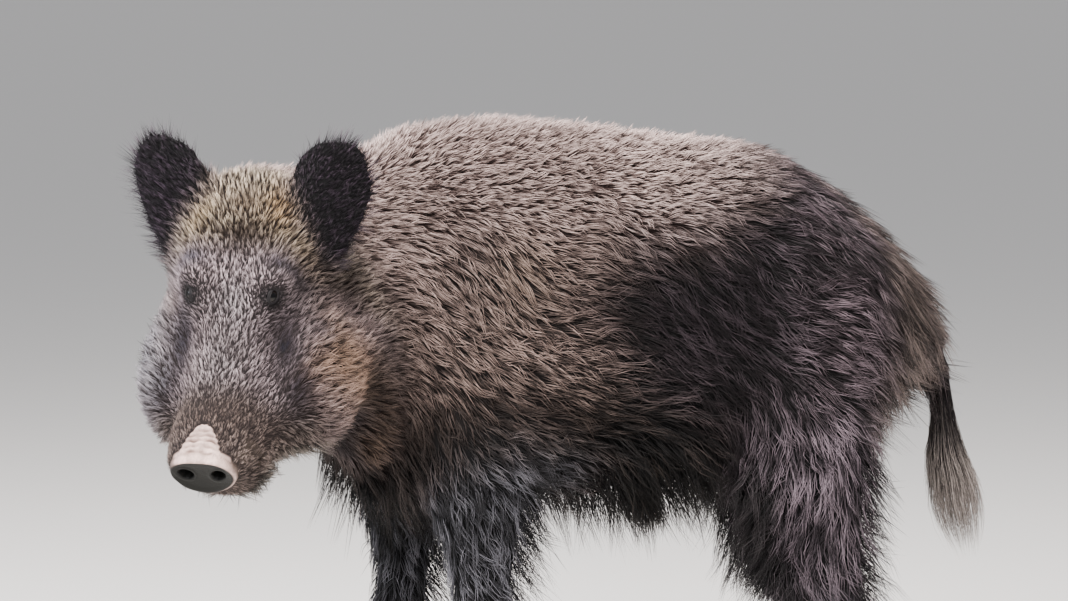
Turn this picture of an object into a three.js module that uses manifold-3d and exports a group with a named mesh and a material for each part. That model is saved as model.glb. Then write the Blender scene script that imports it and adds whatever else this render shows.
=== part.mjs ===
// A life-size adult wild boar, standing with its legs apart and its head lowered and turned to its left.
// Each body region, ear, eye, hoof and dewclaw is one closed solid, out to the tips of the coat.
// Millimetres. +X runs from tail to breast, +Y is the animal's left and +Z is up.
// The origin is at the middle of the underside of the whole animal, on the floor.
import * as THREE from "three";
import { mergeVertices } from "three/addons/utils/BufferGeometryUtils.js";
import Module from "manifold-3d";

const wasm = await Module();
wasm.setup();

// ---------------------------------------------------------------- driving dimensions

const GAP = 0.6; // free space between neighbouring solids
const SIDES = { left: 1, right: -1 }; // sign of Y on each side
const degrees = THREE.MathUtils.degToRad;

// Trunk: top and bottom of the outline and half its width, from the buttock to the breast.
const TRUNK = [
  { x: -578, top: 672, bottom: 470, half: 98 }, // buttock
  { x: -520, top: 735, bottom: 432, half: 138 }, // croup
  { x: -440, top: 806, bottom: 408, half: 164 }, // hip
  { x: -340, top: 852, bottom: 380, half: 180 }, // loin
  { x: -200, top: 870, bottom: 342, half: 193 }, // belly
  { x: -60, top: 889, bottom: 336, half: 194 }, // girth
  { x: 60, top: 900, bottom: 338, half: 184 }, // withers
  { x: 170, top: 888, bottom: 340, half: 164 }, // shoulder
  { x: 262, top: 852, bottom: 342, half: 146 }, // breast
];
const TRUNK_ENDS = { rear: 62, front: 78 }; // lengths of the rounded ends
const RIBS = { rear: -330, front: -60 }; // the barrel lies between these
const TRUNK_WIDEST = 0.44; // share of the height at which the trunk is widest

// Neck: x, y, z and radius along its line, which bends to the left.
const NECK = [
  [180, 0, 640, 210],
  [300, 40, 626, 198],
  [400, 95, 648, 160],
  [452, 135, 676, 124],
];
const NECK_WIDTH = 0.72; // its width as a share of its depth

// Head: its frame has +X to the snout, +Y to the left and +Z out of the forehead.
const HEAD = { poll: [478, 158, 728], yaw: 51, pitch: 57, roll: -2 };
const SKULL = [
  { x: -50, top: 88, bottom: -120, half: 96 }, // nape
  { x: 10, top: 102, bottom: -150, half: 102 }, // crown
  { x: 65, top: 96, bottom: -164, half: 97 }, // forehead
  { x: 125, top: 76, bottom: -166, half: 81 }, // eyes
  { x: 195, top: 58, bottom: -160, half: 78 }, // cheekbone
  { x: 262, top: 50, bottom: -152, half: 72 }, // nose bridge
  { x: 312, top: 46, bottom: -130, half: 69 }, // muzzle
  { x: 350, top: 38, bottom: -100, half: 61 }, // lips
];
const SKULL_ENDS = { rear: 70, front: 17 };
const MUZZLE_TURN = { from: 200, slope: -0.06 }; // sideways bend of the face before its front end
const SKULL_WIDEST = 0.52;
const SNOUT_DISC = { x: 367, z: 2, width: 106, height: 80, thickness: 16, edge: 8, tilt: -12 };
const JOWL = { at: [178, 84, -80], radii: [112, 76, 92] };
const BROW = { at: [84, 58, 66], radii: [46, 27, 22] };
const EYE = { at: [123, 57, 61], radius: 13, look: [0.25, 0.68, 0.68], opening: 11, depth: 40 };
const MOUTH = { x: 148, z: -62, slope: -10, length: 196, width: 110, depth: 150 }; // corner and line
const NAPE = { at: [-92, 0, 96], turn: -33 }; // plane between head and neck, in the head's frame
const THROAT = { at: [262, 18, 640], turn: -8, yaw: 22 }; // plane between neck and chest
const MUZZLE_START = 292; // where the bare skin of the snout begins

// Ears: a cupped leaf on a frame of its own, seated in the side of the crown.
const EAR = {
  seat: [54, 88, 24],
  length: 200,
  width: 144,
  cup: 37, // depth of the hollow
  edge: 78, // how far its section curls to each edge, in degrees
  thickness: 13,
  clearance: 4, // room left round it in the flesh
  base: 0.68, // width where it joins the head, as a share of its width
  tip: 0.08, // and at its very end
  tipCup: 0.35, // share of the hollow that is left at the tip
  widest: 0.6, // where it is widest, as a share of its length
  lean: 56, // turn of the leaf back from the forehead's direction, in degrees
  splay: 17, // lean of the tip away from the other ear
  twist: 12, // turn of the hollow to the outside
};

// Legs: x, y, z and radius down each leg, for a foot that stands under its own joint.
const FORELEG = [
  [122, 92, 560, 108], // upper arm
  [116, 108, 440, 98], // elbow
  [134, 118, 336, 76], // forearm
  [128, 118, 222, 53], // knee
  [124, 118, 150, 39], // cannon
  [122, 118, 88, 40], // fetlock
  [136, 118, 52, 36], // pastern
];
const HINDLEG = [
  [-410, 86, 610, 138], // haunch
  [-372, 108, 470, 118], // thigh
  [-370, 118, 370, 102], // stifle
  [-384, 118, 236, 82], // hock
  [-400, 118, 150, 52], // cannon
  [-398, 118, 88, 42], // fetlock
  [-384, 118, 52, 37], // pastern
];
const LEG_WIDTH = 0.82; // a leg's width as a share of its length along X
const FOOT_SHIFT = { fore_left: -4, fore_right: 54, hind_left: -26, hind_right: -136 };
const SHOULDER = { at: [128, 108, 590], radii: [128, 66, 215] };
const HAUNCH = { at: [-400, 88, 566], radii: [152, 84, 180] };
const ARMPIT = { at: [112, 58, 372], slope: 34 }; // plane that parts the foreleg from the trunk
const GROIN = { at: [-396, 60, 398], slope: 30 };
const LEG_ROOM = { along: 150, inner: 38, outer: 320, top: 620 }; // space that one leg keeps to
const FOOT_TOP = 18; // height of the foot's upper end above the fetlock
const CANNON_TOP = -24; // and of the cannon's above the knee or hock

// Feet: two claws and two dewclaws each. Lengths lie along X and widths along Y.
const CORONET = { height: 40, slope: -13 }; // top of the hooves: height at the foot's middle
const CLAW = {
  length: 74,
  width: 36,
  height: 62, // before the coronet cuts it
  top: 0.72, // its size at that height, as a share of its size at the sole
  lean: 14, // how far its top is set back
  spread: 17, // from the foot's middle to its own
  toe: 10, // from the foot's middle forward to its own
};
const FOOT_ROOM = { along: 150, across: 80, down: 90 }; // space under one foot's coronet
const DEWCLAW = { back: 38, spread: 19, z: 76, radii: [12, 9, 20], lean: 24 };

// Tail, and the brush of hair at its end and under the belly: x, y, z and radius.
const TAIL_DOCK = [
  [-598, 0, 610, 30],
  [-636, 2, 560, 20],
  [-648, 4, 500, 15],
  [-652, 6, 436, 14],
];
const DOCK_ROOT = { x: -634, z: 575 }; // the dock hangs free behind and below these
const TAIL_BRUSH = [
  [-653, 7, 432, 16],
  [-662, 9, 376, 22],
  [-676, 12, 316, 30],
  [-692, 14, 270, 20],
  [-716, 16, 216, 6],
];
const BELLY_BRUSH = [
  [-178, 0, 372, 34],
  [-184, 0, 320, 26],
  [-188, 0, 258, 7],
];

// Space that holds each surface, and a reach past all of them.
const ROOM = {
  body: { low: [-760, -300, 200], high: [640, 420, 960] },
  skull: { low: [300, -80, 300], high: [760, 520, 960] },
  muzzle: { low: [500, 160, 260], high: [760, 520, 600] },
};
const BRUSH_ROOM = 60;
const FAR = 520;

// Widths over which shapes run into each other.
const BLEND = { disc: 20, tail: 26, limb: 30, leg: 34, face: 42, muscle: 60, neck: 80 };
const SQUARENESS = 2.25; // of the body's sections: 2 is an oval, and more is boxier

// Grid steps of the surfaces, finest where the shape is smallest.
const CELL = { body: 59, head: 34.5, snout: 19, leg: 45, foot: 30, tail: 21 };
const EYE_DETAIL = [10, 6]; // faces round and down a ball
const DEWCLAW_DETAIL = [7, 4];
const CLAW_SIDES = 14;
const EAR_DETAIL = { along: 9, across: 6 };

const COAT = { body: 0x57504b, head: 0x766c62, leg: 0x35302f, ear: 0x241f22 };
const FINISH = {
  body: new THREE.MeshStandardMaterial({ color: COAT.body, roughness: 0.85, metalness: 0 }),
  head: new THREE.MeshStandardMaterial({ color: COAT.head, roughness: 0.85, metalness: 0 }),
  leg: new THREE.MeshStandardMaterial({ color: COAT.leg, roughness: 0.85, metalness: 0 }),
  ear: new THREE.MeshStandardMaterial({ color: COAT.ear, roughness: 0.85, metalness: 0 }),
  snout: new THREE.MeshStandardMaterial({ color: 0x9a8478, roughness: 0.6, metalness: 0 }),
  brush: new THREE.MeshStandardMaterial({ color: 0x6f6663, roughness: 0.85, metalness: 0 }),
  eye: new THREE.MeshStandardMaterial({ color: 0x140c08, roughness: 0.12, metalness: 0 }),
  horn: new THREE.MeshStandardMaterial({ color: 0x2b2622, roughness: 0.5, metalness: 0 }),
};

// ---------------------------------------------------------------- fields
// A field gives a point's rough distance from a shape's surface: below zero inside.

// The lower of two distances, rounded off where they are within k of each other.
const soften = (a, b, k) => {
  const near = Math.max(k - Math.abs(a - b), 0) / k;
  return Math.min(a, b) - (near * near * k) / 4;
};

const join = (k, ...fields) => (p) => fields.map((f) => f(p)).reduce((a, b) => soften(a, b, k));

// Distance along the ray from a shape's middle, given the ray and its length in radii.
const alongRay = (length, inRadii) => (inRadii < 1e-6 ? -1e3 : length * (1 - 1 / inRadii));

const ellipsoid = (at, radii) => (p) => {
  const ray = p.map((value, i) => value - at[i]);
  return alongRay(Math.hypot(...ray), Math.hypot(...ray.map((value, i) => value / radii[i])));
};

// A body whose egg-shaped sections run along X, through the stations given.
function loft(stations, ends, widestShare) {
  const xs = new Float32Array(stations.map((s) => s.x));
  const sizes = new Float32Array(stations.flatMap((s) => [s.top, s.bottom, s.half]));
  const between = new THREE.CubicInterpolant(xs, sizes, 3);
  const first = stations[0].x;
  const last = stations.at(-1).x;
  return ([x, y, z]) => {
    const [top, bottom, half] = between.evaluate(THREE.MathUtils.clamp(x, first, last));
    const middle = bottom + widestShare * (top - bottom);
    const height = z > middle ? top - middle : middle - bottom;
    const past = Math.max(first - x, x - last, 0);
    const end = x < first ? ends.rear : ends.front;
    const across = Math.abs(y / half) ** SQUARENESS + Math.abs((z - middle) / height) ** SQUARENESS;
    const inRadii = Math.hypot(across ** (1 / SQUARENESS), past / end);
    return alongRay(Math.hypot(y, z - middle, past), inRadii);
  };
}

// A chain of tapering rounded lengths, narrower across Y by the width share.
function chain(points, width = 1, k = BLEND.limb) {
  const lengths = points.slice(1).map((end, i) => {
    const start = points[i];
    const run = [0, 1, 2].map((axis) => end[axis] - start[axis]);
    const squared = run.reduce((sum, value) => sum + value * value, 0);
    return (p) => {
      const dot = run.reduce((sum, value, axis) => sum + value * (p[axis] - start[axis]), 0);
      const t = THREE.MathUtils.clamp(dot / squared, 0, 1);
      const away = run.map((value, axis) => p[axis] - start[axis] - t * value);
      return Math.hypot(away[0], away[1] / width, away[2]) - THREE.MathUtils.lerp(start[3], end[3], t);
    };
  });
  return join(k, ...lengths);
}

// A field seen from another frame.
function inFrame(matrix, field) {
  const back = matrix.clone().invert();
  const point = new THREE.Vector3();
  return (p) => field(point.set(...p).applyMatrix4(back).toArray());
}

const mirrored = (at, side) => [at[0], at[1] * side, at[2]];
const eachSide = (make) => Object.values(SIDES).map(make);

// ---------------------------------------------------------------- the animal's shape

// A frame at a point, turned about X, then Y, then Z of the frame it is in.
function frameAt(at, turnX = 0, turnY = 0, turnZ = 0, parent = new THREE.Matrix4()) {
  const turn = new THREE.Euler(degrees(turnX), degrees(turnY), degrees(turnZ), "ZYX");
  return parent.clone().multiply(new THREE.Matrix4().makeRotationFromEuler(turn).setPosition(...at));
}

const headFrame = frameAt(HEAD.poll, HEAD.roll, HEAD.pitch, HEAD.yaw);

// A flat round shape whose middle plane is tilted about Y.
function disc({ x, z, width, height, thickness, edge, tilt }) {
  return inFrame(frameAt([x, 0, z], 0, tilt), ([a, y, b]) => {
    const rim = alongRay(Math.hypot(y, b), Math.hypot(y / (width / 2), b / (height / 2)));
    return -soften(-rim, thickness / 2 - Math.abs(a), edge);
  });
}

// A field of the face, bent to the side from a place along it.
const turned = (field) => ([x, y, z]) =>
  field([x, y - MUZZLE_TURN.slope * Math.max(x - MUZZLE_TURN.from, 0), z]);

const faceShape = join(
  BLEND.face,
  loft(SKULL, SKULL_ENDS, SKULL_WIDEST),
  ...eachSide((side) => ellipsoid(mirrored(JOWL.at, side), JOWL.radii)),
  ...eachSide((side) => ellipsoid(mirrored(BROW.at, side), BROW.radii)),
);
const headShape = inFrame(headFrame, turned(join(BLEND.disc, faceShape, disc(SNOUT_DISC))));

// The joints of one leg, with the foot moved along X and the joints above it in proportion.
function legJoints(joints, side, shift) {
  const top = joints[0][2];
  return joints.map(([x, y, z, r]) => [x + (shift * (top - z)) / top, y * side, z, r]);
}

const LEGS = Object.entries(SIDES).flatMap(([word, side]) => [
  { name: `foreleg_${word}`, side, joints: legJoints(FORELEG, side, FOOT_SHIFT[`fore_${word}`]) },
  { name: `hindleg_${word}`, side, joints: legJoints(HINDLEG, side, FOOT_SHIFT[`hind_${word}`]) },
]);

const trunkShape = join(
  BLEND.muscle,
  loft(TRUNK, TRUNK_ENDS, TRUNK_WIDEST),
  ...eachSide((side) => ellipsoid(mirrored(SHOULDER.at, side), SHOULDER.radii)),
  ...eachSide((side) => ellipsoid(mirrored(HAUNCH.at, side), HAUNCH.radii)),
);

const flesh = join(
  BLEND.tail,
  join(
    BLEND.leg,
    join(BLEND.neck, trunkShape, chain(NECK, NECK_WIDTH, BLEND.muscle), headShape),
    ...LEGS.map((leg) => chain(leg.joints, LEG_WIDTH)),
  ),
  chain(TAIL_DOCK),
);

// ---------------------------------------------------------------- from fields to solids

// The field's surface inside a box, as a closed net of quads with one vertex in each crossed cell.
function net(field, low, high, cell) {
  const clipped = (p) => Math.max(field(p), ...p.map((v, i) => Math.max(low[i] - v, v - high[i])));
  const start = low.map((v) => v - cell * 1.5);
  const count = high.map((v, i) => Math.ceil((v + cell * 1.5 - start[i]) / cell) + 1);
  const at = (i, j, k) => [start[0] + i * cell, start[1] + j * cell, start[2] + k * cell];
  const index = (i, j, k) => (k * count[1] + j) * count[0] + i;
  const samples = new Float32Array(count[0] * count[1] * count[2]);
  for (let k = 0; k < count[2]; k++)
    for (let j = 0; j < count[1]; j++)
      for (let i = 0; i < count[0]; i++) samples[index(i, j, k)] = clipped(at(i, j, k));

  const positions = [];
  const vertexOf = new Map();
  const CORNERS = [0, 1, 2, 3, 4, 5, 6, 7].map((c) => [c & 1, (c >> 1) & 1, c >> 2]);
  for (let k = 0; k < count[2] - 1; k++)
    for (let j = 0; j < count[1] - 1; j++)
      for (let i = 0; i < count[0] - 1; i++) {
        const value = CORNERS.map(([a, b, c]) => samples[index(i + a, j + b, k + c)]);
        const crossings = [];
        CORNERS.forEach((near, a) =>
          CORNERS.slice(a + 1).forEach((far, offset) => {
            const b = a + 1 + offset;
            const apart = near.reduce((sum, v, axis) => sum + Math.abs(v - far[axis]), 0);
            if (apart !== 1 || value[a] < 0 === value[b] < 0) return;
            const t = value[a] / (value[a] - value[b]);
            crossings.push(near.map((v, axis) => v + t * (far[axis] - v)));
          }),
        );
        if (!crossings.length) continue;
        const [a, b, c] = middleOf(crossings);
        vertexOf.set(index(i, j, k), positions.length / 3);
        positions.push(...ontoSurface(clipped, at(i + a, j + b, k + c), cell));
      }

  const faces = [];
  const AXES = [
    [[1, 0, 0], [0, 1, 0], [0, 0, 1]],
    [[0, 1, 0], [0, 0, 1], [1, 0, 0]],
    [[0, 0, 1], [1, 0, 0], [0, 1, 0]],
  ];
  for (let k = 1; k < count[2] - 1; k++)
    for (let j = 1; j < count[1] - 1; j++)
      for (let i = 1; i < count[0] - 1; i++)
        for (const [along, u, v] of AXES) {
          const here = samples[index(i, j, k)] < 0;
          const next = samples[index(i + along[0], j + along[1], k + along[2])] < 0;
          if (here === next) continue;
          const corner = (a, b) => {
            const [di, dj, dk] = u.map((value, axis) => a * value + b * v[axis]);
            return vertexOf.get(index(i - di, j - dj, k - dk));
          };
          const quad = [corner(0, 0), corner(1, 0), corner(1, 1), corner(0, 1)];
          if (!here) quad.reverse();
          faces.push(quad[0], quad[1], quad[2], quad[0], quad[2], quad[3]);
        }
  return new THREE.BufferGeometry()
    .setAttribute("position", new THREE.BufferAttribute(new Float32Array(positions), 3))
    .setIndex(faces);
}

function middleOf(points) {
  return [0, 1, 2].map((axis) => points.reduce((sum, p) => sum + p[axis], 0) / points.length);
}

// Moves a point onto the field's surface, by at most a share of a cell at each step.
function ontoSurface(field, point, cell) {
  const step = 0.5;
  const p = [...point];
  for (let round = 0; round < 3; round++) {
    const slope = p.map((value, axis) => {
      const ahead = [...p];
      const behind = [...p];
      ahead[axis] += step;
      behind[axis] -= step;
      return (field(ahead) - field(behind)) / (2 * step);
    });
    const squared = slope.reduce((sum, v) => sum + v * v, 0) || 1;
    const move = field(p) / squared;
    slope.forEach((v, axis) => {
      p[axis] -= THREE.MathUtils.clamp(v * move, -cell / 4, cell / 4);
    });
  }
  return p;
}

function solidOf(geometry) {
  const bare = geometry.clone();
  bare.deleteAttribute("normal");
  bare.deleteAttribute("uv");
  const merged = mergeVertices(bare, 1e-4);
  return new wasm.Manifold(
    new wasm.Mesh({
      numProp: 3,
      vertProperties: new Float32Array(merged.attributes.position.array),
      triVerts: new Uint32Array(merged.index.array),
    }),
  );
}

// The inside of a field within a box and one cell past it, as one solid.
function solidIn(field, { low, high }, cell) {
  const grown = [low.map((v) => v - cell), high.map((v) => v + cell)];
  return solidOf(net(field, ...grown, cell));
}

// The largest of a solid's separate bodies.
const whole = (solid) => solid.decompose().sort((a, b) => b.volume() - a.volume())[0];

// A box between two corners of a frame, as a solid grown on every side.
function block({ low, high, frame = new THREE.Matrix4() }, grown = 0) {
  const size = high.map((v, i) => v - low[i] + 2 * grown);
  const middle = high.map((v, i) => (v + low[i]) / 2);
  const placed = frame.clone().multiply(new THREE.Matrix4().setPosition(...middle));
  return solidOf(new THREE.BoxGeometry(...size).applyMatrix4(placed));
}

// What solids have in common.
const common = (solids) => solids.reduce((a, b) => a.intersect(b));

const animal = new THREE.Group();
const taken = []; // grown regions that later solids keep out of

function addMesh(name, solid, material) {
  const mesh = solid.getMesh();
  const corners = new Float32Array(mesh.numVert * 3);
  for (let i = 0; i < mesh.numVert; i++)
    corners.set(mesh.vertProperties.subarray(i * mesh.numProp, i * mesh.numProp + 3), i * 3);
  const geometry = new THREE.BufferGeometry()
    .setAttribute("position", new THREE.BufferAttribute(corners, 3))
    .setIndex(new THREE.BufferAttribute(new Uint32Array(mesh.triVerts), 1));
  geometry.computeVertexNormals();
  const placed = new THREE.Mesh(geometry, material);
  placed.name = name;
  animal.add(placed);
}

// The part of a solid that all the blocks share, clear of what earlier nodes have taken.
function addRegion(name, solid, blocks, material) {
  const part = common([solid, ...blocks.map((each) => block(each))]);
  addMesh(name, whole(taken.reduce((left, other) => left.subtract(other), part)), material);
  taken.push(common(blocks.map((each) => block(each, GAP))));
}

// ---------------------------------------------------------------- eyes and ears

function addEye(word, side) {
  const centre = new THREE.Vector3(...mirrored(EYE.at, side));
  const look = new THREE.Vector3(...mirrored(EYE.look, side)).normalize();
  const ball = (radius) =>
    solidOf(
      new THREE.SphereGeometry(radius, ...EYE_DETAIL).translate(...centre.toArray()).applyMatrix4(headFrame),
    );
  // The coat is open in front of the eye.
  const opening = new THREE.CylinderGeometry(EYE.opening, EYE.opening, EYE.depth, EYE_DETAIL[0])
    .translate(0, EYE.depth / 2, 0)
    .applyQuaternion(new THREE.Quaternion().setFromUnitVectors(new THREE.Vector3(0, 1, 0), look))
    .translate(...centre.toArray())
    .applyMatrix4(headFrame);
  addMesh(`eye_${word}`, ball(EYE.radius), FINISH.eye);
  taken.push(ball(EYE.radius + GAP), solidOf(opening));
}

// One ear: a leaf that curls round its length, thinning to its edges, and grown on every side.
function earLeaf(grown = 0) {
  const { along, across } = EAR_DETAIL;
  const rings = [];
  for (let i = 0; i <= along; i++) {
    // Rings are closest together towards the rounded tip.
    const t = Math.sin(((i / along) * Math.PI) / 2);
    const below = EAR.base + (1 - EAR.base) * Math.sin((Math.PI / 2) * (t / EAR.widest));
    const above = Math.sqrt(Math.max(1 - ((t - EAR.widest) / (1 - EAR.widest)) ** 2, 0));
    const half = (EAR.width / 2) * (t < EAR.widest ? below : Math.max(above, EAR.tip));
    const curl = EAR.cup * Math.min(1, EAR.tipCup + 2 * (1 - t));
    const ring = [];
    for (let j = 0; j < 2 * across; j++) {
      const front = j < across;
      const share = (front ? j : 2 * across - j) * (2 / across) - 1; // -1 and 1 at the edges
      const atEdge = Math.abs(share) === 1;
      const angle = degrees(EAR.edge) * share;
      const slope = new THREE.Vector2(half * Math.cos(angle), curl * Math.sin(angle)).normalize();
      const outward = atEdge ? share * grown : 0;
      const face = atEdge ? 0 : (EAR.thickness / 2) * Math.sqrt(1 - share * share) + grown;
      const skin = front ? face : -face;
      ring.push([
        half * Math.sin(angle) + slope.x * outward - slope.y * skin,
        curl * (1 - Math.cos(angle)) + slope.y * outward + slope.x * skin,
        t * (EAR.length + 2 * grown) - grown,
      ]);
    }
    rings.push(ring);
  }
  return closedRings(rings);
}

// A closed surface through rings of points, whose ends are closed straight across their thickness.
function closedRings(rings) {
  const count = rings[0].length;
  const last = (rings.length - 1) * count;
  const faces = [];
  for (let base = 0; base < last; base += count)
    for (let j = 0; j < count; j++) {
      const [a, b] = [base + j, base + ((j + 1) % count)];
      faces.push(a, b + count, b, a, a + count, b + count);
    }
  for (let j = 0; j < count / 2; j++) {
    const [near, next] = [(count - j) % count, count - j - 1];
    const halves = [[j, j + 1, next]];
    if (j > 0 && j + 1 < count / 2) halves.push([j, next, near]);
    else if (j > 0) halves.splice(0, 1, [j, j + 1, near]);
    for (const [a, b, c] of halves) faces.push(a, b, c, last + a, last + c, last + b);
  }
  return new THREE.BufferGeometry()
    .setAttribute("position", new THREE.BufferAttribute(new Float32Array(rings.flat(2)), 3))
    .setIndex(faces);
}

function addEar(word, side) {
  const seat = frameAt(mirrored(EAR.seat, side), 0, -EAR.lean, 0, headFrame);
  const splayed = frameAt([0, 0, 0], -EAR.splay * side, 0, 0, seat);
  const frame = frameAt([0, 0, 0], 0, 0, 90 + EAR.twist * side, splayed);
  addMesh(`ear_${word}`, solidOf(earLeaf().applyMatrix4(frame)), FINISH.ear);
  taken.push(solidOf(earLeaf(EAR.clearance).applyMatrix4(frame)));
}

for (const [word, side] of Object.entries(SIDES)) {
  addEye(word, side);
  addEar(word, side);
}

// ---------------------------------------------------------------- hooves, dewclaws and legs

// One claw: an oval that narrows upward and leans back from the toe, under the coronet.
function clawSolid([x, y], side, coronet) {
  const wall = new THREE.CylinderGeometry(CLAW.top, 1, 1, CLAW_SIDES)
    .rotateX(Math.PI / 2)
    .translate(0, 0, 0.5)
    .scale(CLAW.length / 2, CLAW.width / 2, CLAW.height)
    .applyMatrix4(new THREE.Matrix4().makeShear(0, 0, 0, 0, -CLAW.lean / CLAW.height, 0))
    .translate(x + CLAW.toe, y + side * CLAW.spread, 0);
  const across = [GAP * side, CLAW.width * 2 * side].sort((a, b) => a - b);
  const ownHalf = {
    low: [x - CLAW.length, y + across[0], -1],
    high: [x + CLAW.length, y + across[1], CLAW.height],
  };
  return common([solidOf(wall), block(ownHalf), block(coronet)]);
}

// A dewclaw behind the fetlock, leaning back.
function dewclawSolid([x, y], side, grown) {
  const at = [x - DEWCLAW.back, y + side * DEWCLAW.spread, DEWCLAW.z];
  const horn = new THREE.SphereGeometry(1, ...DEWCLAW_DETAIL)
    .rotateX(Math.PI / 2)
    .scale(...DEWCLAW.radii.map((radius) => radius + grown))
    .applyMatrix4(frameAt(at, 0, DEWCLAW.lean));
  return solidOf(horn);
}

function addFoot(leg) {
  const foot = leg.joints.at(-1);
  const fetlock = leg.joints.at(-2);
  const coronet = {
    low: [-FOOT_ROOM.along, -FOOT_ROOM.across, -FOOT_ROOM.down],
    high: [FOOT_ROOM.along, FOOT_ROOM.across, 0],
    frame: frameAt([foot[0], foot[1], CORONET.height], 0, CORONET.slope),
  };
  for (const [place, side] of [["inner", -leg.side], ["outer", leg.side]]) {
    addMesh(`hoof_${leg.name}_${place}`, clawSolid(foot, side, coronet), FINISH.horn);
    addMesh(`dewclaw_${leg.name}_${place}`, dewclawSolid(fetlock, side, 0), FINISH.horn);
    taken.push(dewclawSolid(fetlock, side, 2 * GAP));
  }
  taken.push(block(coronet, GAP));
}

// The room round one leg, from its inner side outward and between two heights.
function column(leg, joint, bottom, top) {
  const across = [LEG_ROOM.inner, LEG_ROOM.outer].map((y) => y * leg.side).sort((a, b) => a - b);
  return {
    low: [joint[0] - LEG_ROOM.along, across[0], bottom],
    high: [joint[0] + LEG_ROOM.along, across[1], top],
  };
}

function addLeg(leg) {
  addFoot(leg);
  const [, elbow, , knee, , fetlock] = leg.joints;
  const footTop = fetlock[2] + FOOT_TOP;
  const cannonTop = knee[2] + CANNON_TOP;
  const root = leg.name.startsWith("hind") ? GROIN : ARMPIT;
  const under = {
    low: [-LEG_ROOM.along, -LEG_ROOM.outer, -LEG_ROOM.top],
    high: [LEG_ROOM.along, LEG_ROOM.outer, 0],
    frame: frameAt(mirrored(root.at, leg.side), root.slope * leg.side),
  };
  const shank = solidIn(flesh, column(leg, knee, 0, cannonTop), CELL.foot);
  const thigh = solidIn(flesh, column(leg, elbow, cannonTop, LEG_ROOM.top), CELL.leg);
  addRegion(`${leg.name}_foot`, shank, [column(leg, fetlock, 0, footTop)], FINISH.leg);
  addRegion(`${leg.name}_cannon`, shank, [column(leg, knee, footTop, cannonTop)], FINISH.leg);
  addRegion(`${leg.name}_upper`, thigh, [column(leg, elbow, cannonTop, LEG_ROOM.top), under], FINISH.leg);
}

LEGS.forEach(addLeg);

// ---------------------------------------------------------------- head, neck, trunk and tail

// A brush of long hair, clear of the flesh that it hangs from.
function addBrush(name, points) {
  const brush = chain(points);
  const clear = (p) => Math.max(brush(p), 2 * GAP - flesh(p));
  const reach = new THREE.Box3();
  for (const [x, y, z] of points) reach.expandByPoint(new THREE.Vector3(x, y, z));
  reach.expandByScalar(BRUSH_ROOM);
  const room = { low: reach.min.toArray(), high: reach.max.toArray() };
  addMesh(name, whole(solidIn(clear, room, CELL.tail)), FINISH.brush);
}

const mouthFrame = frameAt([MOUTH.x, 0, MOUTH.z], 0, MOUTH.slope, 0, headFrame);
const napeFrame = frameAt(NAPE.at, 0, NAPE.turn, 0, headFrame);
const throatFrame = frameAt(THROAT.at, 0, THROAT.turn, THROAT.yaw);
const jaw = {
  low: [0, -MOUTH.width, -MOUTH.depth],
  high: [MOUTH.length, MOUTH.width, 0],
  frame: mouthFrame,
};
const dockRoom = { low: [-720, -60, 300], high: [DOCK_ROOT.x, 60, DOCK_ROOT.z] };

// Everything from a plane of a frame forward, and a slice across the trunk.
const ahead = (frame, from) => ({ low: [from, -FAR, -FAR], high: [from + FAR, FAR, FAR], frame });
const slice = (from, to) => ({
  low: [from, ...ROOM.body.low.slice(1)],
  high: [to, ...ROOM.body.high.slice(1)],
});

const body = solidIn(flesh, ROOM.body, CELL.body);
const skull = solidIn(flesh, ROOM.skull, CELL.head);
const muzzle = solidIn(flesh, ROOM.muzzle, CELL.snout);

addBrush("tail_brush", TAIL_BRUSH);
addBrush("belly_brush", BELLY_BRUSH);
addRegion("lower_jaw", skull, [jaw], FINISH.head);
addRegion("snout", muzzle, [ahead(headFrame, MUZZLE_START)], FINISH.snout);
addRegion("head", skull, [ahead(napeFrame, 0)], FINISH.head);
addRegion("neck", body, [ahead(throatFrame, 0)], FINISH.body);
addRegion("tail_dock", solidIn(chain(TAIL_DOCK), dockRoom, CELL.tail), [dockRoom], FINISH.body);
addRegion("chest", body, [slice(RIBS.front, ROOM.body.high[0])], FINISH.body);
addRegion("barrel", body, [slice(RIBS.rear, RIBS.front)], FINISH.body);
addRegion("rump", body, [slice(ROOM.body.low[0], RIBS.rear)], FINISH.body);

// ---------------------------------------------------------------- the part's own frame

const bounds = new THREE.Box3().setFromObject(animal);
const middle = bounds.getCenter(new THREE.Vector3());
animal.position.set(-middle.x, -middle.y, -bounds.min.z);

export default animal;
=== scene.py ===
"""A wild boar standing with its head lowered and turned: skin, coat, eyes and claws round the CAD frame.

Everything is in metres. X runs from tail to breast, Y to the animal's left and Z up. The head has a frame
of its own, with X out along the snout, Y to its left and Z out of the forehead.
"""

import fnmatch
import math

import bmesh
import bpy
import numpy as np
from mathutils import Euler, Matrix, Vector
from mathutils.bvhtree import BVHTree
from mathutils.kdtree import KDTree


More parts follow.
